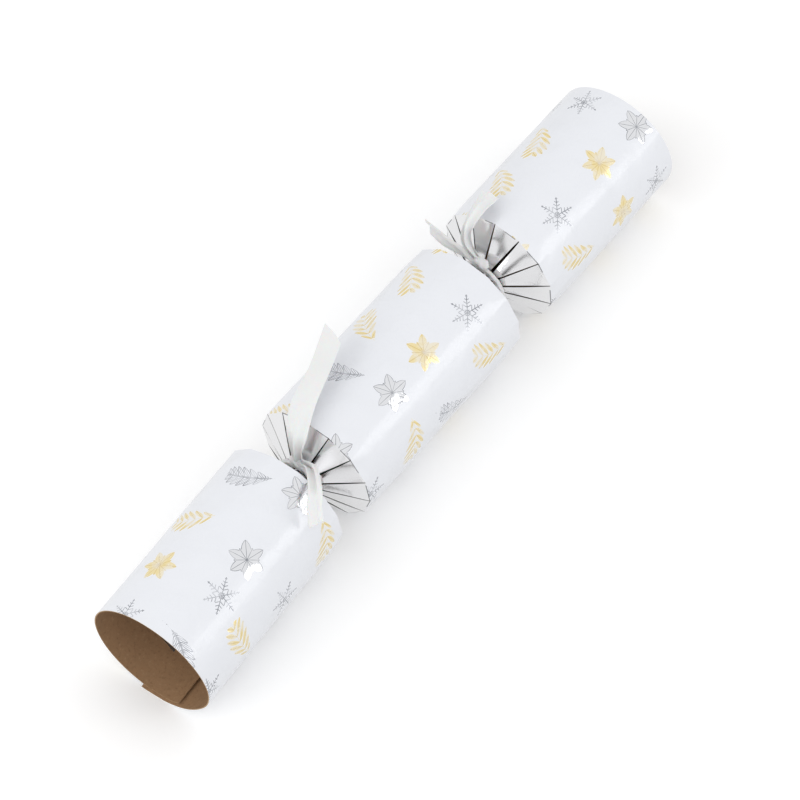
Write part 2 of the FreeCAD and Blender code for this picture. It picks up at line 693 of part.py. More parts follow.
def sleeve(label, placement):
    """A flattened paper tube round the two snap cards where they rub."""
    body = new_body(label)
    half = "(Sizes.card_width / 2 + Sizes.sleeve_room)"
    top = "(Sizes.card_spacing / 2 + Sizes.card_thickness)"
    sketch = new_sketch(body, label + "_section", "YZ_Plane", "-Sizes.sleeve_length / 2")
    for grow, paper in ((0.0, ""), (0.2, " + Sizes.sleeve_paper")):
        base = sketch.GeometryCount
        low = Vector(-4.2 - grow, -0.7 - grow, 0)
        high = Vector(4.2 + grow, 0.55 + grow, 0)
        corners = [low, Vector(high.x, low.y, 0), high, Vector(low.x, high.y, 0)]
        for k in range(4):
            sketch.addGeometry(Part.LineSegment(corners[k], corners[(k + 1) % 4]), False)
        for k in range(4):
            join(sketch, base + k, 2, base + (k + 1) % 4, 1)
            rule(sketch, Sketcher.Constraint(("Horizontal", "Vertical")[k % 2], base + k))
        rule(sketch, Sketcher.Constraint("DistanceX", base, 1, -1, 1, -low.x), half + paper)
        rule(sketch, Sketcher.Constraint("DistanceX", -1, 1, base + 1, 2, high.x), half + paper)
        rule(sketch, Sketcher.Constraint("DistanceY", base, 1, -1, 1, -low.y),
             top + " + Sizes.sleeve_room" + paper)
        rule(sketch, Sketcher.Constraint("DistanceY", -1, 1, base + 1, 2, high.y), top + paper)
    doc.recompute()
    check_sketch(sketch)
    pad(body, label + "_tube", sketch, "Sizes.sleeve_length")
    body.Placement = placement
    doc.recompute()
    return body


def glue_dab(label, place, placement):
    """A round dab of glue between a snap card's end and the wall above it."""
    body = new_body(label)
    low = "Sizes.tube_radius - Sizes.board_thickness - Sizes.card_drop + Sizes.card_thickness / 2"
    sketch = new_sketch(body, label + "_plan", "XY_Plane", low)
    sketch.setExpression("AttachmentOffset.Base.x", place)
    circle = sketch.addGeometry(Part.Circle(Vector(), Vector(0, 0, 1), 2), False)
    rule(sketch, Sketcher.Constraint("Coincident", circle, 3, -1, 1))
    rule(sketch, Sketcher.Constraint("Radius", circle, 2), "Sizes.dab_radius")
    pad(body, label + "_dab", sketch,
        "Sizes.card_drop - Sizes.card_thickness / 2 - %s" % DAB_ROOM)
    body.Placement = placement
    doc.recompute()
    return body


# How far a card runs straight past the tie, the smallest corner that is rounded, and how
# far a flat glue dab stays below the crown of the round wall.
THROAT_RUN = 4.0
LEAST_CUT = 0.3
DAB_ROOM = 0.15
LEVEL = (size("card_spacing") + size("card_thickness")) / 2
SNAP_TURN = Rotation(Vector(1, 0, 0), size("snap_turn"))
SNAP_PLACE = Placement(Vector(0, 0, AXIS_HEIGHT), SNAP_TURN)
LEFT_SNAP_PLACE = Placement(LEFT_PLACE.Base, LEFT_PLACE.Rotation * SNAP_TURN)
RIGHT_SNAP_PLACE = Placement(RIGHT_PLACE.Base, RIGHT_PLACE.Rotation * SNAP_TURN)
PATCH_Y = ("-Sizes.card_width / 2 + 0.5", "Sizes.card_width / 2 - 0.5")
PATCH_END = "Sizes.card_overlap - 1"
nodes += [
    snap_card("left_snap_card", LEFT_TIE, -1, -LEVEL, size("left_gap"),
              size("left_end_length"), size("left_yaw")),
    snap_card("right_snap_card", RIGHT_TIE, 1, LEVEL, size("right_gap"),
              size("right_end_length"), size("right_yaw")),
    block("snap_grit", (PATCH_END + " - Sizes.patch_length", PATCH_END), PATCH_Y,
          ("-Sizes.card_spacing / 2", "-Sizes.card_spacing / 2 + Sizes.patch_thickness"),
          SNAP_PLACE),
    block("snap_compound", ("-(%s)" % PATCH_END, "-(%s) + Sizes.patch_length" % PATCH_END),
          PATCH_Y,
          ("Sizes.card_spacing / 2 - Sizes.patch_thickness", "Sizes.card_spacing / 2"),
          SNAP_PLACE),
    sleeve("snap_sleeve", SNAP_PLACE),
    glue_dab("left_snap_glue",
             LEFT_MOUTH + " + Sizes.card_inset + Sizes.dab_radius + 0.5", LEFT_SNAP_PLACE),
    glue_dab("right_snap_glue",
             RIGHT_MOUTH + " - Sizes.card_inset - Sizes.dab_radius - 0.5", RIGHT_SNAP_PLACE),
]


# ---------------------------------------------------------------- what the barrel holds

def turned(label, outline, placement):
    """A turned piece: its half outline, from the axis and back to it, spun about X."""
    body = new_body(label)
    sketch = new_sketch(body, label + "_half", "XY_Plane")
    count = len(outline)
    for k in range(count):
        a = Vector(outline[k][0], outline[k][1], 0)
        b = Vector(outline[(k + 1) % count][0], outline[(k + 1) % count][1], 0)
        sketch.addGeometry(Part.LineSegment(a, b), False)
    for k in range(count):
        join(sketch, k, 2, (k + 1) % count, 1)
    check_sketch(sketch)
    feature = body.newObject("PartDesign::Revolution", label + "_turned")
    feature.Profile = sketch
    feature.ReferenceAxis = (origin_part(body, "X_Axis"), [""])
    feature.Angle = 360
    body.Tip = feature
    doc.recompute()
    body.Placement = placement
    doc.recompute()
    return body


def beside(path, half):
    """A path of level and upright stretches, moved half a thickness to its left."""
    points = []
    for k, point in enumerate(path):
        normals = []
        if k > 0:
            normals.append(Vector(0, 0, 1).cross((point - path[k - 1]).normalize()))
        if k < len(path) - 1:
            normals.append(Vector(0, 0, 1).cross((path[k + 1] - point).normalize()))
        points.append(sum(normals, Vector()) * half + point)
    return points


def paper_hat(label, placement):
    """The tissue hat, folded to and fro: a section of leaves and folds, padded along X."""
    body = new_body(label)
    sketch = new_sketch(body, label + "_section", "YZ_Plane")
    half_leaf = size("hat_leaf") / 2
    reach = size("hat_fold") / 2 - half_leaf
    path = []
    for k in range(int(size("hat_leaves"))):
        way = 1 if k % 2 == 0 else -1
        height = k * size("hat_pitch")
        path += [Vector(-way * reach, height, 0), Vector(way * reach, height, 0)]
    outline = beside(path, half_leaf) + beside(path, -half_leaf)[::-1]
    count = len(outline)
    for k in range(count):
        sketch.addGeometry(Part.LineSegment(outline[k], outline[(k + 1) % count]), False)
    for k in range(count):
        join(sketch, k, 2, (k + 1) % count, 1)
    check_sketch(sketch)
    pad(body, label + "_stack", sketch, "Sizes.hat_length")
    body.Placement = placement
    doc.recompute()
    return body


def curled_slip(label, placement):
    """The motto slip, sprung open against the barrel's wall."""
    body = new_body(label)
    sketch = new_sketch(body, label + "_section", "YZ_Plane", "-Sizes.slip_length / 2")
    start = size("slip_start")
    end = size("slip_end")
    outer_rule = "Sizes.slip_radius"
    inner_rule = "Sizes.slip_radius - Sizes.slip_paper"
    outer = add_arc(sketch, size("slip_radius"), start, end, outer_rule)
    inner = add_arc(sketch, size("slip_radius") - size("slip_paper"), start, end, inner_rule)
    inner_radius = size("slip_radius") - size("slip_paper")
    first = add_radial(sketch, inner_radius, size("slip_radius"), start,
                       "Sizes.slip_start * 1 deg + 360 deg")
    last = add_radial(sketch, inner_radius, size("slip_radius"), end, "Sizes.slip_end * 1 deg")
    join(sketch, first, 1, inner, 1)
    join(sketch, first, 2, outer, 1)
    join(sketch, last, 1, inner, 2)
    join(sketch, last, 2, outer, 2)
    check_sketch(sketch)
    pad(body, label + "_paper", sketch, "Sizes.slip_length")
    body.Placement = placement
    doc.recompute()
    return body


# The spinning top leans on its rim and its spindle's tip; the hat lies flat beside it.
TOP_X = 26.0
HAT_X = -40.0
HAT_BOTTOM = 23.0
TOP_FLOOR = FLAT_DEPTH - (FLAP_RADIUS - (R - T)) - 0.4
top_r = size("top_radius")
top_h = size("top_height")
spin_r = size("spindle_radius")
spin_half = size("spindle_length") / 2
TOP_OUTLINE = [
    (-top_h / 2, spin_r), (-top_h / 2, 0.4 * top_r), (0.1 * top_h, top_r),
    (top_h / 2, 0.7 * top_r), (top_h / 2, spin_r)]
SPINDLE_OUTLINE = [
    (-spin_half, 0.0), (-spin_half + spin_r, spin_r), (spin_half, spin_r),
    (spin_half, 0.0)]
lean = Rotation(Vector(0, 1, 0), size("top_tilt"))
gift_top = turned("gift_top", TOP_OUTLINE, Placement(Vector(TOP_X, 0, 0), lean))
gift_spindle = turned("gift_spindle", SPINDLE_OUTLINE, Placement(Vector(TOP_X, 0, 0), lean))
lowest = min(gift_top.Shape.BoundBox.ZMin, gift_spindle.Shape.BoundBox.ZMin)
for piece in (gift_top, gift_spindle):
    piece.Placement = Placement(Vector(TOP_X, 0, AXIS_HEIGHT - TOP_FLOOR - lowest), lean)
hat_base = Placement(
    Vector(HAT_X, 0, AXIS_HEIGHT - HAT_BOTTOM + size("hat_leaf") / 2), Rotation())
nodes += [
    gift_top,
    gift_spindle,
    paper_hat("paper_hat", hat_base),
    curled_slip("motto_slip", BARREL_PLACE),
]


# ---------------------------------------------------------------- check and write


doc.recompute()
for thing in doc.Objects:
    if "Invalid" in thing.State or "Error" in thing.State:
        raise RuntimeError("%s is %s" % (thing.Name, thing.State))
triangles = 0
for node in nodes:
    shape = node.Shape
    if shape.isNull() or not shape.isValid():
        raise RuntimeError("bad shape: " + node.Label)
    mesh = shape.tessellate(0.1)
    triangles += len(mesh[1])
    box = shape.BoundBox
    print("%-17s solids %d volume %8.1f triangles %5d x %6.1f %6.1f y %6.1f %6.1f z %5.1f %5.1f"
          % (node.Label, len(shape.Solids), shape.Volume, len(mesh[1]),
             box.XMin, box.XMax, box.YMin, box.YMax, box.ZMin, box.ZMax))
    shape.exportStep("parts/%s.step" % node.Label)
print("triangles in all", triangles)
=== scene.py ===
"""A snap-pull party cracker, dressed and lit for its picture.

The printed board is modelled as it is made: a flat die-cut blank is drawn on a grid,
rolled to a tube, lapped on itself and pinched into petals at its necks. The ribbons,
the snap and what the barrel holds follow. Lengths are in millimetres where a comment or a
docstring says so, and else in metres.
"""

from __future__ import annotations

import logging
import math
from dataclasses import dataclass
from enum import Enum

import bmesh
import bpy
from mathutils import Matrix, Vector, noise

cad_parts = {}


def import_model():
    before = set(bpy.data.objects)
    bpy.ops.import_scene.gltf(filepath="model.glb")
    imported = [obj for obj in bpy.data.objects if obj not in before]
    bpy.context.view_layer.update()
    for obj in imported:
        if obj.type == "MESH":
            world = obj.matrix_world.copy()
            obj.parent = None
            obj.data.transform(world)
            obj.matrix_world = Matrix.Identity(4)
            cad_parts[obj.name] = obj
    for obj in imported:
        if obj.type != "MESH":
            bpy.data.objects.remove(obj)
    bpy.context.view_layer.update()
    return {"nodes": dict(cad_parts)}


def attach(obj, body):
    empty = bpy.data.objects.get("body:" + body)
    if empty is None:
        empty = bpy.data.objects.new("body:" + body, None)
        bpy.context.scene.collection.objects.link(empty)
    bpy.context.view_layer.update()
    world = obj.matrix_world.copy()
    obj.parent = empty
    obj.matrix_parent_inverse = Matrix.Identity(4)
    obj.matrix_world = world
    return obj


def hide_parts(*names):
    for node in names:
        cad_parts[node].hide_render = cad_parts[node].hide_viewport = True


LOG = logging.getLogger("cracker")
MM = 0.001
# The UV maps count tenths of a metre.
MAP_MM = 100.0
Point = tuple[float, float, float]
Piece = bpy.types.Object
Tree = bpy.types.NodeTree
Socket = bpy.types.NodeSocket


# ------------------------------------------------------------------ small helpers


def smoothstep(low: float, high: float, value: float) -> float:
    """A smooth climb from 0 at low to 1 at high."""
    t = min(max((value - low) / (high - low), 0.0), 1.0)
    return t * t * (3.0 - 2.0 * t)


def rumple(x: float, y: float, z: float) -> float:
    """Smooth noise about 0, always the same at a place."""
    return noise.noise(Vector((x, y, z)))


def linear_colour(code: str) -> tuple[float, float, float, float]:
    """Turns an sRGB hex value to the linear colour that a shader takes.

    Args:
        code: six hex digits, with or without a hash.

    Returns:
        Linear red, green and blue, and an alpha of 1.
    """
    digits = code.lstrip("#")
    channels = []
    for k in (0, 2, 4):
        c = int(digits[k : k + 2], 16) / 255.0
        channels.append(c / 12.92 if c <= 0.04045 else ((c + 0.055) / 1.055) ** 2.4)
    return (channels[0], channels[1], channels[2], 1.0)


def deselect_all() -> None:
    """Leaves object mode's selection empty."""
    bpy.ops.object.select_all(action="DESELECT")


def make_active(piece: Piece) -> None:
    """Selects one piece alone and makes it active."""
    deselect_all()
    piece.select_set(True)
    bpy.context.view_layer.objects.active = piece


def named(name: str) -> Piece:
    """Names the primitive that was added last, and its mesh."""
    piece = bpy.context.active_object
    piece.name = name
    piece.data.name = name
    return piece


def new_grid(name: str, along: int, across: int) -> Piece:
    """Adds a flat grid of so many cells, from -1 to 1 both ways."""
    deselect_all()
    bpy.ops.mesh.primitive_grid_add(x_subdivisions=along, y_subdivisions=across, size=2.0)
    return named(name)


def thicken(piece: Piece, thickness: float, **settings: object) -> None:
    """Gives a sheet its thickness, half of it to each side.

    Args:
        piece: the sheet.
        thickness: in millimetres.
        settings: further properties of the modifier.
    """
    make_active(piece)
    modifier = piece.modifiers.new("thickness", "SOLIDIFY")
    modifier.thickness = thickness * MM
    modifier.offset = 0.0
    for key, value in settings.items():
        setattr(modifier, key, value)
    bpy.ops.object.modifier_apply(modifier=modifier.name)


def agree_normals(piece: Piece) -> None:
    """Turns a piece's faces to look the same way."""
    make_active(piece)
    bpy.ops.object.mode_set(mode="EDIT")
    bpy.ops.mesh.select_all(action="SELECT")
    bpy.ops.mesh.normals_make_consistent(inside=False)
    bpy.ops.object.mode_set(mode="OBJECT")


def smooth_by_angle(piece: Piece, degrees: float) -> None:
    """Shades a piece smooth, but keeps edges sharper than an angle."""
    make_active(piece)
    bpy.ops.object.shade_smooth_by_angle(angle=math.radians(degrees))


def spline_point(points: list[Vector], t: float) -> Vector:
    """A point of the smooth curve through some points.

    Args:
        points: the points it passes, at least two.
        t: from 0 at the first point to 1 at the last.

    Returns:
        The point on a Catmull-Rom curve.
    """
    spans = len(points) - 1
    place = min(max(t, 0.0), 1.0) * spans
    k = min(int(place), spans - 1)
    u = place - k
    b = points[k]
    c = points[k + 1]
    a = points[k - 1] if k > 0 else b * 2 - c
    d = points[k + 2] if k + 2 <= spans else c * 2 - b
    return 0.5 * (
        (b * 2)
        + (c - a) * u
        + (a * 2 - b * 5 + c * 4 - d) * u * u
        + (b * 3 - a - c * 3 + d) * u * u * u
    )


# ------------------------------------------------------------------ shader nodes


@dataclass(frozen=True)
class Value:
    """What an output socket gives. Arithmetic on it adds the shader nodes for it."""

    tree: Tree
    socket: Socket

    def join(self, operation: str, *values: object) -> Value:
        """Adds one step of arithmetic, such as ADD, on values in the step's own order."""
        settings = {"operation": operation}
        node = add_node(self.tree, "ShaderNodeMath", settings, dict(enumerate(values)))
        return Value(self.tree, node.outputs[0])

    def step(self, operation: str, *others: object) -> Value:
        """Adds one step of arithmetic on this value and the others."""
        return self.join(operation, self, *others)

    def __add__(self, other: object) -> Value:
        return self.step("ADD", other)

    def __radd__(self, other: object) -> Value:
        return self.join("ADD", other, self)

    def __sub__(self, other: object) -> Value:
        return self.step("SUBTRACT", other)

    def __rsub__(self, other: object) -> Value:
        return self.join("SUBTRACT", other, self)

    def __mul__(self, other: object) -> Value:
        return self.step("MULTIPLY", other)

    def __truediv__(self, other: object) -> Value:
        return self.step("DIVIDE", other)

    def __pow__(self, other: object) -> Value:
        return self.step("POWER", other)

    def __abs__(self) -> Value:
        return self.step("ABSOLUTE")

    def at_least(self, other: object) -> Value:
        """The larger of the two."""
        return self.step("MAXIMUM", other)

    def at_most(self, other: object) -> Value:
        """The smaller of the two."""
        return self.step("MINIMUM", other)

    def above(self, other: object) -> Value:
        """1 where this value is the larger, and 0 elsewhere."""
        return self.step("GREATER_THAN", other)

    def below(self, other: object) -> Value:
        """1 where this value is the smaller, and 0 elsewhere."""
        return self.step("LESS_THAN", other)


def feed(tree: Tree, socket: Socket, value: object) -> None:
    """Links an input socket to a Value, or sets it to anything else."""
    if isinstance(value, Value):
        tree.links.new(value.socket, socket)
    else:
        socket.default_value = value


def add_node(
    tree: Tree,
    kind: str,
    settings: dict[str, object] | None = None,
    inputs: dict[object, object] | None = None,
) -> bpy.types.Node:
    """Adds a shader node with its settings and links.

    Args:
        tree: the material's node tree.
        kind: the node's type name.
        settings: its properties.
        inputs: socket name or number to a Value, or to what it is set to.

    Returns:
        The new node.
    """
    node = tree.nodes.new(kind)
    for key, value in (settings or {}).items():
        setattr(node, key, value)
    for key, value in (inputs or {}).items():
        feed(tree, node.inputs[key], value)
    return node


@dataclass(frozen=True)
class Brush:
    """Draws nodes into one material or world, which ends in one shader."""

    tree: Tree
    shader: bpy.types.Node

    @staticmethod
    def start(owner: bpy.types.ID, shader: str, output: str) -> Brush:
        """Clears the tree of a material or world, down to a shader and its output."""
        owner.use_nodes = True
        tree = owner.node_tree
        tree.nodes.clear()
        node = add_node(tree, shader)
        add_node(tree, output, {}, {"Surface": Value(tree, node.outputs[0])})
        return Brush(tree, node)

    def surface(self, inputs: dict[str, object]) -> None:
        """Feeds the inputs of the shader itself."""
        for key, value in inputs.items():
            feed(self.tree, self.shader.inputs[key], value)

    def parts(
        self, kind: str, settings: dict[str, object], inputs: dict[object, object]
    ) -> dict[str, Value]:
        """Adds a node and gives its outputs by name."""
        node = add_node(self.tree, kind, settings, inputs)
        return {socket.identifier: Value(self.tree, socket) for socket in node.outputs}

    def draw(
        self,
        kind: str,
        settings: dict[str, object] | None = None,
        inputs: dict[object, object] | None = None,
        output: int | str = 0,
    ) -> Value:
        """Adds a node and gives one of its outputs."""
        node = add_node(self.tree, kind, settings, inputs)
        return Value(self.tree, node.outputs[output])

    def place(self) -> Value:
        """The place in the piece's own frame, in metres."""
        return self.draw("ShaderNodeTexCoord", output="Object")

    def uv(self, name: str) -> Value:
        """The place on a UV map."""
        return self.draw("ShaderNodeUVMap", {"uv_map": name})

    def ray(self, kind: str) -> Value:
        """1 for rays of a kind, such as Camera or Glossy, and 0 for others."""
        return self.draw("ShaderNodeLightPath", output=f"Is {kind} Ray")

    def scaled(self, vector: Value, factor: float) -> Value:
        """A vector times a number."""
        inputs = {0: vector, "Scale": factor}
        return self.draw("ShaderNodeVectorMath", {"operation": "SCALE"}, inputs)

    def noise(
        self, place: Value, scale: float, detail: float, flat: bool = False, **more: float
    ) -> Value:
        """Adds a noise texture.

        Args:
            place: where it is read.
            scale: lumps to a unit of the place.
            detail: how many finer layers it has.
            flat: whether the place is on a map, so that it varies two ways only.
            more: its further inputs, such as roughness.

        Returns:
            A value about 0.5.
        """
        inputs = {"Vector": place, "Scale": scale, "Detail": detail}
        inputs.update({key.capitalize(): value for key, value in more.items()})
        settings = {"noise_dimensions": "2D" if flat else "3D"}
        return self.draw("ShaderNodeTexNoise", settings, inputs)

    def climb(self, value: Value, low: float, high: float, kind: str = "LINEAR") -> Value:
        """Climbs from 0 where a value is at low to 1 where it is at high."""
        inputs = {0: value, 1: low, 2: high}
        return self.draw("ShaderNodeMapRange", {"interpolation_type": kind}, inputs)

    def mix(self, factor: Value, first: Value | str, second: Value | str) -> Value:
        """Mixes two colours, each given as a Value or in hex."""
        ends = [linear_colour(c) if isinstance(c, str) else c for c in (first, second)]
        inputs = {0: factor, 6: ends[0], 7: ends[1]}
        return self.draw("ShaderNodeMix", {"data_type": "RGBA"}, inputs, 2)

    def bump(
        self, height: Value, strength: float, distance: float, invert: bool = False
    ) -> None:
        """Lets the surface rise with a height, by a distance in metres."""
        inputs = {"Strength": strength, "Distance": distance, "Height": height}
        self.surface({"Normal": self.draw("ShaderNodeBump", {"invert": invert}, inputs)})


# ------------------------------------------------------------------ finishes


class Finish:
    """A named material whose nodes a subclass draws."""

    name: str = "finish"

    def build(self) -> bpy.types.Material:
        """Makes the material, or gives it back where it was made before."""
        made = bpy.data.materials.get(self.name)
        if made:
            return made
        material = bpy.data.materials.new(self.name)
        brush = Brush.start(material, "ShaderNodeBsdfPrincipled", "ShaderNodeOutputMaterial")
        self.draw(brush)
        return material

    def draw(self, brush: Brush) -> None:
        """Draws the finish's own nodes."""
        raise NotImplementedError


@dataclass(frozen=True)
class Sprig:
    """A bowed stem with pairs of slanted leaves, in millimetres.

    half is half its length, reach its longest leaf, period the way from leaf to leaf, and
    fat half the width of a leaf."""

    half: float
    reach: float
    period: float
    fat: float
    stem: float = 0.18
    bend: float = 0.02
    slant: float = 0.95

    def draw(self, along: Value, across: Value) -> tuple[Value, Value]:
        """Draws it along a line.

        Args:
            along: millimetres along the stem.
            across: millimetres to its side.

        Returns:
            How deep a place lies inside a leaf or the stem, below 0 outside, and its place
            across the leaf.
        """
        side = abs(across - along * along * self.bend)
        foot = along - side * self.slant
        off = ((foot / self.period).step("FRACT") - 0.5) * (self.period * 0.72)
        near = foot / self.half
        reach = (1.0 - near * near).at_least(0.0) ** 0.6 * self.reach
        out = (side / (reach + 0.01)).at_most(1.0)
        swell = (out * (1.0 - out)) ** 0.7 * (self.fat * 2.6)
        leaf = (swell - abs(off)).at_most(reach - side)
        stem = (self.stem - side).at_most(self.half - abs(along))
        return leaf.at_least(stem), off


def folded(along: Value, across: Value, parts: int, shift: float) -> tuple[Value, Value]:
    """Folds the plane about a middle point into equal parts.

    Args:
        along: millimetres from the middle.
        across: millimetres to its side.
        parts: how many parts there are.
        shift: a turn of the whole, in parts.

    Returns:
        Millimetres out along a part's middle line, and to its side.
    """
    share = across.step("ARCTAN2", along) * (parts / (2 * math.pi)) + shift
    fold = abs(share.step("FRACT") - 0.5) * (2 * math.pi / parts)
    far = (along * along + across * across).step("SQRT")
    return far * fold.step("COSINE"), far * fold.step("SINE")


def flower(along: Value, across: Value, radius: float) -> tuple[Value, Value]:
    """Draws a winter flower: two rings of six pointed petals with a vein each.

    Args:
        along: millimetres from its middle.
        across: millimetres to its side.
        radius: the length of a petal, in millimetres.

    Returns:
        How deep a place lies inside a petal, and how far from the nearest vein.
    """
    depths = []
    veins = []
    for ring, shift in ((radius, 0.0), (radius * 0.66, 0.5)):
        out, side = folded(along, across, 6, shift)
        share = (out / ring).at_least(0.0).at_most(1.0)
        bulge = (share * (1.0 - share)) ** 0.8 * (ring * 0.72)
        depths.append((bulge - side).at_most(ring - out))
        veins.append(side)
    return depths[0].at_least(depths[1]), veins[0].at_most(veins[1])


def crystal(along: Value, across: Value, radius: float) -> Value:
    """Draws a six-armed snow crystal in thin lines.

    Args:
        along: millimetres from its middle.
        across: millimetres to its side.
        radius: the length of an arm, in millimetres.

    Returns:
        How deep a place lies inside a line.
    """
    out, side = folded(along, across, 6, 0.0)
    gap = radius / 5.0
    arm = 0.17 - side
    twig = abs(((out - side * 0.58) / gap).step("FRACT") - 0.5)
    twig = 0.15 - twig * (gap * 0.86)
    room = (radius * 1.1 - out) * 0.36 - side
    return arm.at_least(twig.at_most(room)).at_most(radius - out)


@dataclass(frozen=True)
class PrintedBoard(Finish):
    """Gloss-coated white board with gold and silver foil: bright, cool and slightly wavy.

    The motifs' sizes are in millimetres. Each cell of the strewn pattern holds one motif,
    and the four last sizes say up to which random number it holds which."""

    name: str = "coated_white_board"
    white: str = "#E8EAEF"
    gold: str = "#EFDDA6"
    gold_deep: str = "#CFB26A"
    silver: str = "#8F9299"
    mirror: str = "#E6E7EA"
    cell: float = 25.0
    gold_sprig: Sprig = Sprig(9.5, 5.6, 3.1, 0.98)
    fine_sprig: Sprig = Sprig(9.0, 4.6, 2.7, 0.75)
    flower_radius: float = 7.6
    crystal_radius: float = 7.4
    to_gold_sprig: float = 0.25
    to_gold_flower: float = 0.45
    to_mirror_flower: float = 0.52
    to_crystal: float = 0.80

    def cells(self, brush: Brush, where: Value) -> tuple[Value, Value, Value]:
        """Strews places for motifs: a jittered grid of cells, each with its own turn.

        Args:
            brush: the material's brush.
            where: the place on the flat blank, in millimetres.

        Returns:
            The place along and across the cell's motif, in millimetres, and the cell's
            random number.
        """
        scaled = brush.scaled(where, 1.0 / self.cell)
        cell = brush.parts(
            "ShaderNodeTexVoronoi",
            {"voronoi_dimensions": "2D", "feature": "F1"},
            {"Vector": scaled, "Scale": 1.0, "Randomness": 0.4},
        )
        inputs = {0: scaled, 1: cell["Position"]}
        local = brush.draw("ShaderNodeVectorMath", {"operation": "SUBTRACT"}, inputs)
        chance = brush.parts("ShaderNodeSeparateColor", {}, {0: cell["Color"]})
        inputs = {"Vector": local, "Angle": chance["Red"] * (2 * math.pi)}
        turned = brush.draw("ShaderNodeVectorRotate", {"rotation_type": "Z_AXIS"}, inputs)
        axes = brush.parts("ShaderNodeSeparateXYZ", {}, {0: turned})
        return axes["X"] * self.cell, axes["Y"] * self.cell, chance["Green"]

    def draw(self, brush: Brush) -> None:
        """White coat, strewn foil motifs and a faint wave in the board."""
        where = brush.scaled(brush.uv("blank"), MAP_MM)
        along, across, chance = self.cells(brush, where)

        def cells_between(low: float, high: float) -> Value:
            """1 in the cells whose random number lies between two others."""
            return chance.above(low) * chance.below(high)

        # Gold: sprigs of fat leaves in some cells, winter flowers in others.
        leaf, off = self.gold_sprig.draw(along, across)
        bloom, vein = flower(along, across, self.flower_radius)
        is_leaf = cells_between(-1.0, self.to_gold_sprig)
        is_bloom = cells_between(self.to_gold_sprig, self.to_gold_flower)
        soft = [brush.climb(depth, -0.1, 0.3, "SMOOTHSTEP") for depth in (leaf, bloom)]
        gold = soft[0] * is_leaf + soft[1] * is_bloom
        line = abs(off).below(0.14) * is_leaf + vein.below(0.14) * is_bloom

        # Silver: flowers in mirror foil, and crystals and sprigs in fine line.
        is_mirror = cells_between(self.to_gold_flower, self.to_mirror_flower)
        mirror = bloom.above(0.0) * is_mirror
        veined = vein.below(0.1).at_least(abs(bloom).below(0.12))
        veined = veined * bloom.above(-0.12) * is_mirror
        ice = crystal(along, across, self.crystal_radius).above(0.0)
        outline, mid = self.fine_sprig.draw(along, across)
        stroke = (0.08 - abs(mid)).at_most(outline)
        rim = (0.13 - abs(outline)).at_least(stroke).above(0.0)
        silver = ice * cells_between(self.to_mirror_flower, self.to_crystal)
        silver = silver + rim * cells_between(self.to_crystal, 2.0)
        silver = silver.at_least(veined)

        # The foil wears thin in patches, as hot foil does over a soft board.
        patch = brush.noise(where, 0.16, 3.0, flat=True, roughness=0.55)
        cover = 0.5 + brush.climb(patch, 0.36, 0.62) * 0.5
        gold = gold * cover
        silver = silver * cover

        gold_tone = brush.mix(line * 0.75, self.gold, self.gold_deep)
        colour = brush.mix(gold, self.white, gold_tone)
        colour = brush.mix(mirror, colour, self.mirror)
        colour = brush.mix(silver, colour, self.silver)
        foil = (gold.at_least(silver) * 0.45).at_least(mirror)

        # The coated board is not quite flat: a slow wave and a finer crumple.
        wave = brush.noise(where, 0.075, 1.0, flat=True, roughness=0.4)
        crumple = brush.noise(where, 0.21, 2.0, flat=True, roughness=0.45, distortion=0.8)
        brush.bump(wave + crumple * 0.16, 0.4, 0.0028)
        brush.surface(
            {
                "Base Color": colour,
                "Metallic": foil,
                "Roughness": 0.34 - foil * 0.22,
                "IOR": 1.5,
                "Coat Weight": 0.4,
                "Coat Roughness": 0.1,
            }
        )


@dataclass(frozen=True)
class SilverFoil(Finish):
    """Hot-stamped silver foil on the folded petals: a soft mirror with fine ripples."""

    name: str = "silver_foil"
    silver: str = "#F5F5F6"
    # fold: cracked foil in the scored crease, with painted shade there too.
    fold: str = "#55565A"

    def draw(self, brush: Brush) -> None:
        """A mirror, dark along the scored fold: foil cracked in places, and painted shade in
        the crease.
        """
        past = brush.parts("ShaderNodeSeparateXYZ", {}, {0: brush.uv("petal")})["Y"]
        flat = brush.uv("blank")
        crack_and_shade_patches = brush.noise(flat, 9.0, 0.0, flat=True)
        whole = brush.climb(past, 0.0010, 0.0032).at_least(crack_and_shade_patches.below(0.52))
        ripple = brush.noise(flat, 8.0, 0.0, flat=True)
        brush.bump(ripple, 0.3, 0.0015)
        tone = brush.mix(whole, self.fold, self.silver)
        brush.surface(
            {"Base Color": tone, "Roughness": 0.12 + ripple * 0.08, "Metallic": 1.0}
        )


@dataclass(frozen=True)
class KraftLiner(Finish):
    """The board's uncoated inside: brown kraft with dark and pale fibre flecks."""

    name: str = "brown_kraft"
    base: str = "#A98663"
    dark: str = "#70523A"
    pale: str = "#C9AD8C"

    def draw(self, brush: Brush) -> None:
        """Brown pulp, cloudy over a centimetre, with flecks under a millimetre."""
        place = brush.place()
        cloud = brush.noise(place, 90.0, 4.0, roughness=0.6)
        fleck = brush.noise(place, 700.0, 3.0, roughness=0.75)
        dark = brush.climb(fleck, 0.55, 0.68)
        pale = brush.climb(fleck, 0.42, 0.3)
        tone = brush.mix(cloud * 0.35, self.base, self.dark)
        tone = brush.mix(dark * 0.4, tone, self.dark)
        tone = brush.mix(pale * 0.25, tone, self.pale)
        brush.bump(fleck, 0.25, 0.0002)
        brush.surface({"Base Color": tone, "Roughness": 0.88})


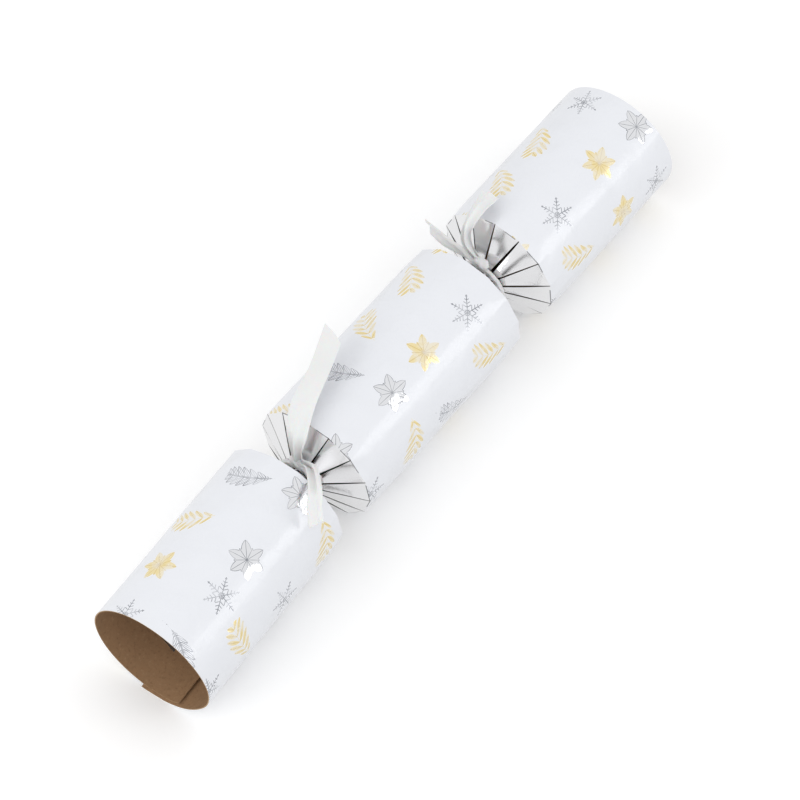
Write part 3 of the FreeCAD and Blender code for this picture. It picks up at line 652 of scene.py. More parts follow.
@dataclass(frozen=True)
class CutPaper(Finish):
    """Plain uncoated paper or card: matt, cloudy, with a fine tooth in millimetres."""

    name: str = "cut_board_edge"
    base: str = "#B99B78"
    shade: str = "#8A6C4E"
    tooth: float = 0.4
    rough: float = 0.85

    def draw(self, brush: Brush) -> None:
        """Two tones of pulp and a shallow tooth."""
        place = brush.place()
        pulp = brush.noise(place, 1.0 / MM / (self.tooth * 8), 3.0)
        tooth = brush.noise(place, 1.0 / MM / self.tooth, 1.0)
        brush.bump(tooth, 0.2, 0.0001)
        tone = brush.mix(pulp * 0.6, self.base, self.shade)
        brush.surface({"Base Color": tone, "Roughness": self.rough})


@dataclass(frozen=True)
class Satin(Finish):
    """Woven white satin: soft sheen, threads along the ribbon, faintly see-through."""

    name: str = "white_satin"
    white: str = "#EAEAEA"
    # Real warp threads lie 0.1 mm apart; they are drawn at 0.35 mm so that they show.
    thread: float = 0.35

    def draw(self, brush: Brush) -> None:
        """White cloth with lengthwise threads, uneven in thickness and gloss."""
        flat = brush.uv("cloth")
        across = brush.parts("ShaderNodeSeparateXYZ", {}, {0: flat})["X"]
        threads = (across * (2 * math.pi * MAP_MM / self.thread)).step("SINE")
        slub = brush.noise(flat, 30.0, 3.0, flat=True)
        brush.bump(threads * 0.06 + slub, 0.15, 0.0003)
        brush.surface(
            {
                "Base Color": linear_colour(self.white),
                "Roughness": 0.38 + slub * 0.12,
                "Sheen Weight": 0.3,
                "Subsurface Weight": 0.15,
                "Subsurface Scale": 0.001,
            }
        )


@dataclass(frozen=True)
class HotGlue(Finish):
    """Set adhesive: amber, glossy and a little lumpy."""

    name: str = "set_adhesive"
    amber: str = "#C9A86A"
    deep: str = "#9A7A45"

    def draw(self, brush: Brush) -> None:
        """Amber with darker swirls under a gloss skin."""
        swirl = brush.noise(brush.place(), 500.0, 2.0, distortion=0.6)
        brush.bump(swirl, 0.4, 0.0002)
        tone = brush.mix(swirl, self.amber, self.deep)
        brush.surface({"Base Color": tone, "Roughness": 0.25, "IOR": 1.48})


@dataclass(frozen=True)
class Grit(Finish):
    """A painted friction patch: fine grains, in millimetres, in a dark binder."""

    name: str = "friction_grit"
    binder: str = "#4A4340"
    grain: str = "#8A817A"
    size: float = 0.25

    def draw(self, brush: Brush) -> None:
        """Voronoi grains over the binder."""
        inputs = {"Vector": brush.place(), "Scale": 1.0 / MM / self.size}
        grain = brush.draw("ShaderNodeTexVoronoi", {}, inputs)
        brush.bump(grain, 0.6, 0.0001, invert=True)
        tone = brush.mix(grain, self.grain, self.binder)
        brush.surface({"Base Color": tone, "Roughness": 0.9})


@dataclass(frozen=True)
class TurnedWood(Finish):
    """Turned beech, stained and waxed, or plain: fine grain along the turning axis."""

    name: str = "stained_beech"
    early: str = "#B4342B"
    late: str = "#8A221E"

    def draw(self, brush: Brush) -> None:
        """Grain lines stretched along X, with short pores."""
        inputs = {"Vector": brush.place(), "Scale": (0.12, 1.0, 1.0)}
        stretched = brush.draw("ShaderNodeMapping", {}, inputs)
        grain = brush.noise(stretched, 900.0, 4.0, roughness=0.65)
        brush.bump(grain, 0.15, 0.0001)
        tone = brush.mix(grain, self.early, self.late)
        brush.surface({"Base Color": tone, "Roughness": 0.38})


class Stock(Enum):
    """The finishes of this cracker, one to a material."""

    PRINTED = PrintedBoard()
    FOIL = SilverFoil()
    KRAFT = KraftLiner()
    EDGE = CutPaper()
    SATIN = Satin()
    SHADED_EDGE = CutPaper("shaded_cut_edge", "#24211F", "#141312")
    # The snap cards' dark brown tone is painted shade for where they lie inside the mouth.
    CARD = CutPaper("dark_snap_card_painted_shade", "#3A2E26", "#241C17", 0.5, 0.9)
    SLEEVE = CutPaper("buff_sleeve_paper", "#D9CDB0", "#C4B593", 0.4, 0.85)
    TISSUE = CutPaper("green_tissue", "#3E8A5E", "#2C6B46", 0.8, 0.8)
    MOTTO = CutPaper("white_bond_paper", "#F0EEE6", "#E2DED2", 0.3, 0.8)
    GLUE = HotGlue()
    GRIT = Grit()
    COMPOUND = CutPaper("red_friction_paint", "#7A3A30", "#5A2822", 0.25, 0.8)
    RED_WOOD = TurnedWood()
    PLAIN_WOOD = TurnedWood("plain_beech", "#D8B88A", "#B8946A")

    def material(self) -> bpy.types.Material:
        """The finish's material."""
        return self.value.build()


# ------------------------------------------------------------------ the rolled board


@dataclass(frozen=True)
class Cracker:
    """The sizes that all sub-assemblies share, in millimetres and degrees."""

    radius: float = 26.5
    board: float = 0.42
    glue_gap: float = 0.12
    lap_start: float = -115.0
    lap_end: float = 283.0
    joggle_start: float = 215.0
    joggle_end: float = 245.0
    seam_flat_half: float = 4.5
    petals: int = 14
    throat: float = 6.0
    crease_blend: float = 9.0
    slit_at_rim: float = 0.35
    slit_at_throat: float = 0.7
    tear_gap: float = 0.5
    barrel_length: float = 94.5
    left_gap: float = 19.2
    right_gap: float = 20.8
    left_end: float = 84.5
    right_end: float = 80.0
    left_yaw: float = 3.0
    right_yaw: float = -0.2
    left_phase: float = 2.5
    right_phase: float = 8.0

    @property
    def pitch(self) -> float:
        """The angle of one petal."""
        return 360.0 / self.petals

    @property
    def flap_radius(self) -> float:
        """The outer radius of the lap's outer layer."""
        return self.radius + self.glue_gap + self.board

    @property
    def axis_height(self) -> float:
        """The tube's axis above the table, on which its pressed seam lies."""
        return math.sqrt(self.flap_radius**2 - self.seam_flat_half**2)

    @property
    def left_tie(self) -> float:
        """The left tie's place along X."""
        return -self.barrel_length / 2 - self.left_gap / 2

    @property
    def right_tie(self) -> float:
        """The right tie's place along X."""
        return self.barrel_length / 2 + self.right_gap / 2


@dataclass(frozen=True)
class Neck:
    """One pinched end of a tube: where its fold lies and how its petals stand.

    crease and tie are places along X in millimetres, and seed makes the petals differ."""

    crease: float
    tie: float
    phase: float
    seed: int

    @property
    def outwards(self) -> float:
        """The sign along X of the way from the fold to the tie."""
        return 1.0 if self.tie > self.crease else -1.0


# A row of the blank: its place in millimetres, its neck past a fold, and how far past.
Row = tuple[float, Neck | None, float]


@dataclass
class RolledBoard:
    """One tube of the printed board, from its flat die-cut blank.

    low and high are its two ends along X in its own frame, in millimetres: mouths, or the
    ties where it has a neck."""

    name: str
    node: str
    body: str
    sizes: Cracker
    low: float
    high: float
    necks: list[Neck]
    place: Matrix
    mouth_tilt: float = 0.0
    lap_slip: float = 0.0
    # How finely the blank is divided, and the rows' distances from a fold.
    columns_per_petal: int = 8
    wall_step: float = 2.6
    neck_rows: int = 12
    fold_rows: tuple[float, ...] = (0.0, 0.25, 0.8, 1.8, 3.2, 5.0, 7.0, 9.0)
    first_petal_row: float = 0.3
    # Columns keep so many degrees off a slit and off the blank's edge. Where the middle
    # between two lies within the last of a petal's edge, they bound a slit.
    off_slit: float = 0.5
    off_edge: float = 0.4
    slit_degrees: float = 0.2
    # How far petals gape, bow and lean, the wall swells and the lap's edge has sprung.
    gape: float = 0.7
    bow: float = 0.28
    bow_spread: float = 0.5
    lean: float = 0.5
    swell: float = 0.12
    sprung: float = 0.85
    sprung_degrees: float = 9.0
    # A mouth's tilt is none at this angle, a slip starts at the next, and both fade away.
    square_angle: float = 201.0
    slip_angle: float = 190.0
    skew_run: float = 30.0

    def slope(self, neck: Neck) -> tuple[float, float]:
        """How far a petal reaches along X, and how long its corner's way is."""
        s = self.sizes
        reach = abs(neck.tie - neck.crease) - s.tear_gap / 2
        drop = (s.radius - s.throat) * math.cos(math.radians(s.pitch / 2))
        return reach, math.hypot(reach, drop)

    def stations(self) -> list[Row]:
        """The blank's rows, along X."""
        wall_low = self.low
        wall_high = self.high
        before: list[Row] = []
        after: list[Row] = []
        for neck in self.necks:
            slope = self.slope(neck)[1]
            steps = [slope * (k / self.neck_rows) for k in range(1, self.neck_rows + 1)]
            steps.insert(0, self.first_petal_row)
            found = [(neck.crease + neck.outwards * d, neck, d) for d in steps]
            if neck.outwards < 0:
                wall_low = neck.crease
                before = found[::-1]
            else:
                wall_high = neck.crease
                after = found
        wall = [(x, None, 0.0) for x in self.wall_marks(wall_low, wall_high)]
        return before + wall + after

    def wall_marks(self, low: float, high: float) -> list[float]:
        """Places of the rows between the folds, closer together at a fold."""
        ways = [neck.outwards for neck in self.necks]
        start = [low + d for d in self.fold_rows] if -1.0 in ways else [low]
        end = [high - d for d in reversed(self.fold_rows)] if 1.0 in ways else [high]
        count = max(2, round((end[0] - start[-1]) / self.wall_step))
        middle = [start[-1] + (end[0] - start[-1]) * k / count for k in range(1, count)]
        return start + middle + end

    @property
    def sliver(self) -> float:
        """Half the angle of a slit at the rim."""
        return math.degrees(self.sizes.slit_at_rim / 2 / self.sizes.radius)

    def angles(self) -> list[float]:
        """The blank's columns, as angles round the tube: each slit has one to each side."""
        s = self.sizes
        slits: list[float] = []
        plain: list[float] = []
        for neck in self.necks:
            start = math.floor((s.lap_start - neck.phase) / s.pitch)
            end = math.ceil((s.lap_end - neck.phase) / s.pitch)
            for k in range(start, end + 1):
                base = neck.phase + k * s.pitch
                slits += [base - self.sliver, base + self.sliver]
                if neck is self.necks[0]:
                    step = s.pitch / self.columns_per_petal
                    plain += [base + step * j for j in range(1, self.columns_per_petal)]
        clear = [a for a in plain if all(abs(a - slit) > self.off_slit for slit in slits)]
        low = s.lap_start + self.off_edge
        high = s.lap_end - self.off_edge
        inside = [a for a in slits + clear if low < a < high]
        return sorted(inside + [s.lap_start, s.lap_end])

    def lift(self, angle: float) -> float:
        """How far the board has climbed over its own edge, in millimetres."""
        s = self.sizes
        return (s.glue_gap + s.board) * smoothstep(s.joggle_start, s.joggle_end, angle)

    def round_point(self, angle: float) -> Vector:
        """A point of the round section's middle surface."""
        s = self.sizes
        return self.pressed(s.radius - s.board / 2 + self.lift(angle), angle)

    def pressed(self, far: float, angle: float) -> Vector:
        """A point so far from the axis, but no lower than the flat under the seam."""
        turn = math.radians(angle)
        lowest = -self.depth(angle)
        return Vector((0.0, far * math.cos(turn), max(far * math.sin(turn), lowest)))

    def depth(self, angle: float) -> float:
        """How far below the axis the board's middle lies in the flat under the seam."""
        s = self.sizes
        return s.axis_height - s.flap_radius + s.radius - s.board / 2 + self.lift(angle)

    def facet_point(self, angle: float, phase: float, radius: float) -> Vector:
        """A point of the section in flat facets whose corners lie on a radius."""
        s = self.sizes
        part = (angle - phase) % s.pitch - s.pitch / 2
        apothem = radius * math.cos(math.radians(s.pitch / 2))
        far = (apothem + self.lift(angle)) / math.cos(math.radians(part))
        return self.pressed(far, angle)

    def petal_point(self, angle: float, neck: Neck, past: float) -> Vector:
        """A point on a petal, which leans from the fold down to the tie.

        Args:
            angle: the column's angle at the fold.
            neck: the petal's neck.
            past: millimetres from the fold along the petal.

        Returns:
            The point in the tube's own frame, in millimetres.
        """
        s = self.sizes
        half = s.pitch / 2
        reach = self.slope(neck)[0]
        inner = s.board / 2
        rim = (s.radius - inner) * math.cos(math.radians(half))
        tip = (s.throat - inner) * math.cos(math.radians(half))
        slope = math.hypot(reach, rim - tip)
        lifted = self.lift(angle) / (s.glue_gap + s.board)
        share = past / slope * (1.0 - 0.05 * lifted)
        index = math.floor((angle - neck.phase) / s.pitch)
        middle = neck.phase + (index + 0.5) * s.pitch
        across = min(max((angle - middle) / (half - self.sliver), -1.0), 1.0)
        wide = (s.radius - inner) * math.sin(math.radians(half)) - s.slit_at_rim / 2
        narrow = (s.throat - inner) * math.sin(math.radians(half)) - s.slit_at_throat / 2
        width = wide + (narrow - wide) * share
        own = index % s.petals
        slit = own if across < 0 else (own + 1) % s.petals
        gape = max(0.0, rumple(slit * 3.17 + neck.seed * 1.9, 5.5, 0.3))
        width -= self.gape * gape * (0.4 + 0.6 * share) * smoothstep(0.0, 0.15, share)
        # Each petal leans and bows a little of its own.
        chance = rumple(own * 1.71 + neck.seed * 5.3, 0.4, 0.9)
        twist = rumple(own * 2.37 + neck.seed * 3.1, 7.4, 2.9)
        arch = math.sin(math.pi * share)
        bow = (self.bow + self.bow_spread * chance) * (1 - across * across) * arch
        lean = twist * self.lean * across * arch
        height = rim + (tip - rim) * share
        along = neck.crease + neck.outwards * reach * share
        normal_x = neck.outwards * (rim - tip) / slope
        normal_r = reach / slope
        # Where the board is lapped, the outer petal lies on the inner one.
        rise = self.lift(angle) - abs(bow) * 0.7 + lean
        turn = math.radians(middle)
        radial = Vector((0.0, math.cos(turn), math.sin(turn)))
        tangent = Vector((0.0, -math.sin(turn), math.cos(turn)))
        point = radial * (height + normal_r * rise) + tangent * (width * across)
        point.x = along + normal_x * rise
        point.z = max(point.z, -self.depth(angle))
        return point

    def wall_point(self, angle: float, x: float) -> Vector:
        """A point of the tube's wall, which turns from round to facets near a fold."""
        s = self.sizes
        point = self.round_point(angle)
        for neck in self.necks:
            near = 1.0 - abs(x - neck.crease) / s.crease_blend
            if near > 0.0:
                facet = self.facet_point(angle, neck.phase, s.radius - s.board / 2)
                point = point.lerp(facet, near * near * (1.6 - 0.6 * near))
        # Board never rolls quite true: a dent or swell of a few hundredths.
        spot = Vector((x * 0.05, point.y * 0.07, point.z * 0.07)) + Vector((3, 1, 8))
        swell = self.swell * noise.noise(spot)
        radial = Vector((0.0, point.y, point.z)).normalized()
        lowest = smoothstep(-22.0, -12.0, point.z)
        # The lap's hidden edge has sprung a little way into the tube, but not at a fold.
        free = min(smoothstep(3.0, 22.0, abs(x - neck.crease)) for neck in self.necks)
        edge = 1.0 - smoothstep(s.lap_start, s.lap_start + self.sprung_degrees, angle)
        point = point + radial * (swell * lowest - self.sprung * free * edge)
        point.x = x + self.skew(angle, x)
        return point

    def skew(self, angle: float, x: float) -> float:
        """How far a tube's open mouth runs out of square at an angle, in millimetres."""
        if len(self.necks) > 1:
            return 0.0
        mouth = self.low if self.necks[0].outwards > 0 else self.high
        near = max(0.0, 1.0 - abs(x - mouth) / self.skew_run)
        tilt = self.mouth_tilt * (1 - math.cos(math.radians(angle - self.square_angle))) / 2
        lap = self.lap_slip * smoothstep(self.slip_angle, self.sizes.lap_end, angle)
        return near * (tilt + lap)

    def blank(self) -> tuple[Piece, list[Row], list[float]]:
        """The flat die-cut blank: a grid with its slits taken out.

        Returns:
            The blank, and its rows and columns."""
        rows = self.stations()
        angles = self.angles()
        piece = new_grid(self.name, len(rows) - 1, len(angles) - 1)
        # Each of the grid's vertices takes its row and its column.
        for vertex in piece.data.vertices:
            i = round((vertex.co.x + 1.0) / 2.0 * (len(rows) - 1))
            j = round((vertex.co.y + 1.0) / 2.0 * (len(angles) - 1))
            vertex.co = (float(i), float(j), 0.0)
        self.cut_slits(piece, rows, angles)
        return piece, rows, angles

    def is_slit(self, angle: float, neck: Neck) -> bool:
        """Whether the gap between two columns lies between two petals of a neck."""
        pitch = self.sizes.pitch
        part = (angle - neck.phase) % pitch
        return min(part, pitch - part) < self.slit_degrees

    def cut_slits(
        self, piece: Piece, rows: list[Row], angles: list[float]
    ) -> None:
        """Takes the narrow columns between the petals out of the blank past each fold."""
        make_active(piece)
        bpy.ops.object.mode_set(mode="EDIT")
        bpy.ops.mesh.select_mode(type="FACE")
        bpy.ops.mesh.select_all(action="DESELECT")
        net = bmesh.from_edit_mesh(piece.data)
        for face in net.faces:
            middle = face.calc_center_median()
            neck = rows[int(middle.x)][1] or rows[int(middle.x) + 1][1]
            angle = (angles[int(middle.y)] + angles[int(middle.y) + 1]) / 2
            face.select = neck is not None and self.is_slit(angle, neck)
        bmesh.update_edit_mesh(piece.data)
        bpy.ops.mesh.delete(type="FACE")
        bpy.ops.object.mode_set(mode="OBJECT")

    def roll(self, piece: Piece, rows: list[Row], angles: list[float]) -> None:
        """Rolls the blank to its tube, folds its petals in and keeps the flat places."""
        s = self.sizes
        mesh = piece.data
        mesh.uv_layers.active.name = "blank"
        petal = mesh.uv_layers.new(name="petal")
        flat = mesh.uv_layers["blank"]
        grid = [(round(v.co.x), round(v.co.y)) for v in mesh.vertices]
        for polygon in mesh.polygons:
            cells = [grid[mesh.loops[k].vertex_index] for k in polygon.loop_indices]
            in_neck = any(rows[i][1] for i, _ in cells)
            polygon.material_index = 1 if in_neck else 0
            for k, (i, j) in zip(polygon.loop_indices, cells):
                arc = math.radians(angles[j]) * s.radius
                flat.data[k].uv = (rows[i][0] / MAP_MM, arc / MAP_MM)
                petal.data[k].uv = (0.0, rows[i][2] / MAP_MM)
        for vertex, (i, j) in zip(mesh.vertices, grid):
            x, neck, past = rows[i]
            if neck is None:
                point = self.wall_point(angles[j], x)
            else:
                point = self.petal_point(angles[j], neck, past)
            vertex.co = self.place @ (point * MM)

    def build(self) -> None:
        """Makes the tube with its thickness, its finishes and its place in the frame."""
        piece, rows, angles = self.blank()
        self.roll(piece, rows, angles)
        # Wall and petals outside, the same two inside, and the same two at the cut edges.
        outside = (Stock.PRINTED, Stock.FOIL)
        inside = (Stock.KRAFT, Stock.KRAFT)
        cut = (Stock.EDGE, Stock.SHADED_EDGE)
        for stock in outside + inside + cut:
            piece.data.materials.append(stock.material())
        agree_normals(piece)
        self.face_outwards(piece)
        thicken(
            piece,
            self.sizes.board,
            use_even_offset=True,
            material_offset=len(outside),
            material_offset_rim=len(outside + inside),
        )
        smooth_by_angle(piece, 14.0)
        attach(piece, self.body)
        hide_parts(self.node)
        LOG.info("%s: %d faces", piece.name, len(piece.data.polygons))

    def face_outwards(self, piece: Piece) -> None:
        """Turns the sheet over where its faces look at the tube's axis."""
        back = self.place.inverted()
        balance = 0.0
        for polygon in piece.data.polygons:
            centre = back @ polygon.center
            normal = back.to_3x3() @ polygon.normal
            balance += normal.y * centre.y + normal.z * centre.z
        if balance < 0.0:
            piece.data.flip_normals()


def board_tubes(s: Cracker) -> list[RolledBoard]:
    """The three tubes of the printed board, with their necks."""

    def stand(tie: float, yaw: float) -> Matrix:
        """A tube's frame: at its tie, at the axis's height, turned about the upright."""
        move = Matrix.Translation(Vector((tie, 0.0, s.axis_height)) * MM)
        return move @ Matrix.Rotation(math.radians(yaw), 4, "Z")

    half = s.barrel_length / 2
    left = -s.left_gap / 2
    right = s.right_gap / 2
    barrel_necks = [
        Neck(-half, s.left_tie, s.left_phase, 1),
        Neck(half, s.right_tie, s.right_phase, 2),
    ]
    left_necks = [Neck(left, 0.0, s.left_phase, 3)]
    right_necks = [Neck(right, 0.0, s.right_phase, 4)]

    def tube(body: str, *rest: object, **skew: float) -> RolledBoard:
        """One tube, named for its body: its two ends along X, its necks and its place."""
        return RolledBoard(f"{body}_wrap", f"{body}_board", body, s, *rest, **skew)

    left_place = stand(s.left_tie, s.left_yaw)
    right_place = stand(s.right_tie, s.right_yaw)
    left_mouth = left - s.left_end
    right_mouth = right + s.right_end
    return [
        tube("barrel", -half, half, barrel_necks, stand(0.0, 0.0)),
        tube("left_end", left_mouth, left, left_necks, left_place, lap_slip=-1.2),
        tube("right_end", right, right_mouth, right_necks, right_place, mouth_tilt=-2.3),
    ]


# ------------------------------------------------------------------ the ribbons


@dataclass(frozen=True)
class Stop:
    """One place of a ribbon's tail: its middle, the way to its edge, and half its spread.

    Places are in millimetres in the whole cracker's frame."""

    middle: Point
    across: Point
    spread: float


@dataclass
class Tail:
    """A loose end of the satin ribbon, gathered where it leaves the knot.

    Its sizes are in millimetres, and slant is how much shorter its far edge is cut."""

    name: str
    stops: list[Stop]
    length: float
    slant: float = 4.0
    width: float = 10.0
    thickness: float = 0.16
    pleats: float = 1.5
    curl: float = 0.5
    rows: int = 90
    columns: int = 30
    # How often the pleats' depth is halved in, and the steps that measure them.
    halvings: int = 24
    measures: int = 60

    def gather(self, spread: float) -> float:
        """How deep the pleats are, so that the whole width fits in a spread.

        Args:
            spread: the width that the gathered ribbon takes up, in millimetres.

        Returns:
            The pleats' height in millimetres.
        """
        low, high = 0.0, self.width / 2
        for _ in range(self.halvings):
            height = (low + high) / 2
            length = 0.0
            before = (0.0, 0.0)
            for k in range(1, self.measures + 1):
                u = k / self.measures
                now = (u * spread, height * math.sin(2 * math.pi * self.pleats * u))
                length += math.hypot(now[0] - before[0], now[1] - before[1])
                before = now
            if length < self.width:
                low = height
            else:
                high = height
        return (low + high) / 2

    def build(self, body: str, rests_on: list[str]) -> Piece:
        """Makes the tail as one sheet of cloth.

        Args:
            body: the CAD body that it rides on.
            rests_on: what it hangs from or lies on; not used.

        Returns:
            The finished piece.
        """
        middles = [Vector(stop.middle) for stop in self.stops]
        edges = [
            Vector(stop.middle) + Vector(stop.across).normalized() * stop.spread
            for stop in self.stops
        ]
        piece = new_grid(self.name, self.rows, self.columns)
        mesh = piece.data
        flat = mesh.uv_layers.active
        flat.name = "cloth"
        heights = {}
        grid = [((v.co.x + 1.0) / 2.0, (v.co.y + 1.0) / 2.0) for v in mesh.vertices]
        short = self.slant / self.length
        for loop, corner in zip(mesh.loops, flat.data):
            t, u = grid[loop.vertex_index]
            corner.uv = (u * self.width / MAP_MM, t * self.length / MAP_MM)
        for vertex, (t, u) in zip(mesh.vertices, grid):
            place = t * (1.0 - short * u)
            middle = spline_point(middles, place)
            half = spline_point(edges, place) - middle
            ahead = spline_point(middles, min(place + 0.01, 1.0))
            along = (ahead - spline_point(middles, max(place - 0.01, 0.0))).normalized()
            half -= along * half.dot(along)
            normal = along.cross(half).normalized()
            spread = min(half.length * 2, self.width)
            key = round(spread, 2)
            if key not in heights:
                heights[key] = self.gather(key)
            wave = heights[key] * math.sin(2 * math.pi * self.pleats * u)
            curl = self.curl * (2 * u - 1) ** 2 * smoothstep(0.25, 0.9, t)
            side = half.normalized() * (spread * (u - 0.5))
            vertex.co = (middle + side + normal * (wave + curl)) * MM
        thicken(piece, self.thickness)
        piece.data.materials.append(Stock.SATIN.material())
        smooth_by_angle(piece, 60.0)
        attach(piece, body)
        size = (self.width * MM, self.length * MM)
        area = size[0] * size[1] * (1.0 - short / 2)
        marks = [spline_point(middles, k / 50) for k in range(51)]
        run = sum((after - before).length for before, after in zip(marks, marks[1:]))
        LOG.info("%s: runs %.1f mm", piece.name, run)
        return piece


@dataclass
class RibbonTie:
    """A ribbon pulled tight in a neck: its gathered band, its knot and its tails."""

    side: str
    tie: float
    sizes: Cracker
    tails: list[Tail]
    band_low: float = 6.75
    band_high: float = 10.7
    band_half: float = 1.1
    knot_height: float = 12.6
    knot_half: Point = (2.5, 3.9, 2.5)

    def satin(self, piece: Piece) -> None:
        """Dresses a piece of the tie in satin and lets it ride on the barrel."""
        piece.data.materials.append(Stock.SATIN.material())
        piece.data.uv_layers.active.name = "cloth"
        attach(piece, "barrel")

    def band(self) -> Piece:
        """The ribbon drawn round the petals' tips, crushed into fine lengthwise folds."""
        middle = (self.band_low + self.band_high) / 2
        depth = (self.band_high - self.band_low) / 2
        deselect_all()
        bpy.ops.mesh.primitive_torus_add(
            major_segments=144, minor_segments=36, major_radius=middle, minor_radius=depth
        )
        piece = named(f"{self.side}_ribbon_band")
        for vertex in piece.data.vertices:
            radius = math.hypot(vertex.co.x, vertex.co.y)
            angle = math.atan2(vertex.co.y, vertex.co.x)
            turn = math.atan2(vertex.co.z, radius - middle)
            fold = 0.1 * math.sin(6 * turn + 0.6 * math.sin(3 * angle))
            fold += 0.05 * rumple(angle * 4.0, turn * 2.0, 1.0)
            out = middle + (depth * 0.94 + fold) * math.cos(turn)
            share = smoothstep(self.band_low - 0.5, self.band_high, out)
            wide = self.band_half * (0.35 + 0.65 * share) + fold
            across = wide * math.sin(turn)
            vertex.co = (
                (self.tie + across) * MM,
                out * math.cos(angle) * MM,
                (self.sizes.axis_height + out * math.sin(angle)) * MM,
            )
        self.satin(piece)
        agree_normals(piece)
        smooth_by_angle(piece, 70.0)
        return piece

    def knot(self) -> Piece:
        """The overhand knot: a soft lump with the ribbon's own turns across it."""
        deselect_all()
        bpy.ops.mesh.primitive_uv_sphere_add(segments=64, ring_count=40, radius=1.0)
        piece = named(f"{self.side}_ribbon_knot")
        centre = Vector((self.tie, 1.0, self.sizes.axis_height + self.knot_height))
        for vertex in piece.data.vertices:
            way = vertex.co.normalized()
            turn = math.atan2(way.z, way.x)
            crease = 0.10 * math.sin(3 * turn + 2.4 * way.y)
            crease += 0.05 * math.sin(9 * way.y + turn)
            waist = 1.0 - 0.16 * math.exp(-((way.y / 0.28) ** 2))
            swell = (0.88 + crease) * waist
            half = self.knot_half
            x = way.x * half[0] * swell
            z = way.z * half[2] * swell
            vertex.co = (centre + Vector((x, way.y * half[1] * 0.95, z))) * MM
        self.satin(piece)
        smooth_by_angle(piece, 60.0)
        return piece

    def build(self) -> None:
        """Makes the band, the knot and the tails."""
        band = self.band()
        knot = self.knot()
        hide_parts(f"{self.side}_ribbon")
        made = [tail.build("barrel", [knot.name]) for tail in self.tails]
        for piece in [band, knot] + made:
            LOG.info("%s: %d faces", piece.name, len(piece.data.polygons))


def ribbon_ties(s: Cracker) -> list[RibbonTie]:
    """The two ribbons, with the tails that the picture shows."""
    left = s.left_tie
    right = s.right_tie
    top = s.axis_height + 12.0
    long_tail = Tail(
        "left_ribbon_tail_upper",
        [
            Stop((left, 1.0, top), (0.0, -1.0, 0.0), 2.0),
            Stop((-56.7, 1.8, 47.0), (0.0, -1.0, 0.0), 3.0),
            Stop((-54.0, 3.0, 55.0), (0.05, -1.0, 0.0), 4.6),
            Stop((-44.0, 7.8, 58.0), (0.29, -0.92, 0.2), 4.98),
            Stop((-32.5, 11.2, 59.0), (0.33, -0.86, 0.38), 5.0),
            Stop((-23.5, 14.4, 58.5), (0.36, -0.85, 0.4), 5.0),
            Stop((-14.5, 18.0, 58.8), (0.36, -0.85, 0.4), 5.0),
            Stop((-8.8, 20.2, 59.2), (0.36, -0.85, 0.4), 5.0),
        ],
        72.0,
        slant=13.5,
    )
    lower_tail = Tail(
        "left_ribbon_tail_lower",
        [
            Stop((left, 0.0, top), (1.0, 0.0, 0.0), 1.4),
            Stop((-59.6, -8.0, 47.5), (0.25, -0.6, 0.7), 3.0),
            Stop((-69.0, -18.0, 55.2), (0.1, -0.76, 0.64), 4.2),
            Stop((-74.6, -22.5, 53.0), (0.1, -0.76, 0.64), 4.5),
            Stop((-78.8, -26.9, 49.6), (0.1, -0.76, 0.64), 4.6),
        ],
        45.0,
    )
    back_tail = Tail(
        "right_ribbon_tail_back",
        [
            Stop((right, 2.0, top), (1.0, 0.0, 0.0), 1.4),
            Stop((57.0, 10.0, 40.5), (0.1, 0.38, -0.9), 3.0),
            Stop((55.8, 17.0, 42.2), (0.02, 0.38, -0.9), 4.4),
            Stop((55.4, 23.0, 44.8), (0.1, 0.38, -0.9), 4.7),
            Stop((55.2, 28.0, 47.2), (0.2, 0.37, -0.9), 4.8),
        ],
        30.0,
        slant=9.0,
        curl=0.2,
    )
    front_tail = Tail(
        "right_ribbon_tail_front",
        [
            Stop((right, 1.5, top), (1.0, 0.0, 0.0), 1.4),
            Stop((57.7, 8.0, 46.0), (0.5, -0.8, 0.3), 2.1),
            Stop((59.5, 9.4, 54.0), (0.2, -0.85, 0.45), 2.5),
            Stop((66.5, 10.2, 57.2), (0.05, -0.86, 0.5), 3.8),
            Stop((73.0, 11.0, 56.0), (0.05, -0.88, 0.45), 4.6),
            Stop((79.0, 12.0, 54.6), (0.05, -0.9, 0.4), 4.8),
        ],
        43.0,
        slant=5.0,
    )
    return [
        RibbonTie("left", left, s, [long_tail, lower_tail]),
        RibbonTie("right", right, s, [back_tail, front_tail]),
    ]


# ------------------------------------------------------------------ what it holds


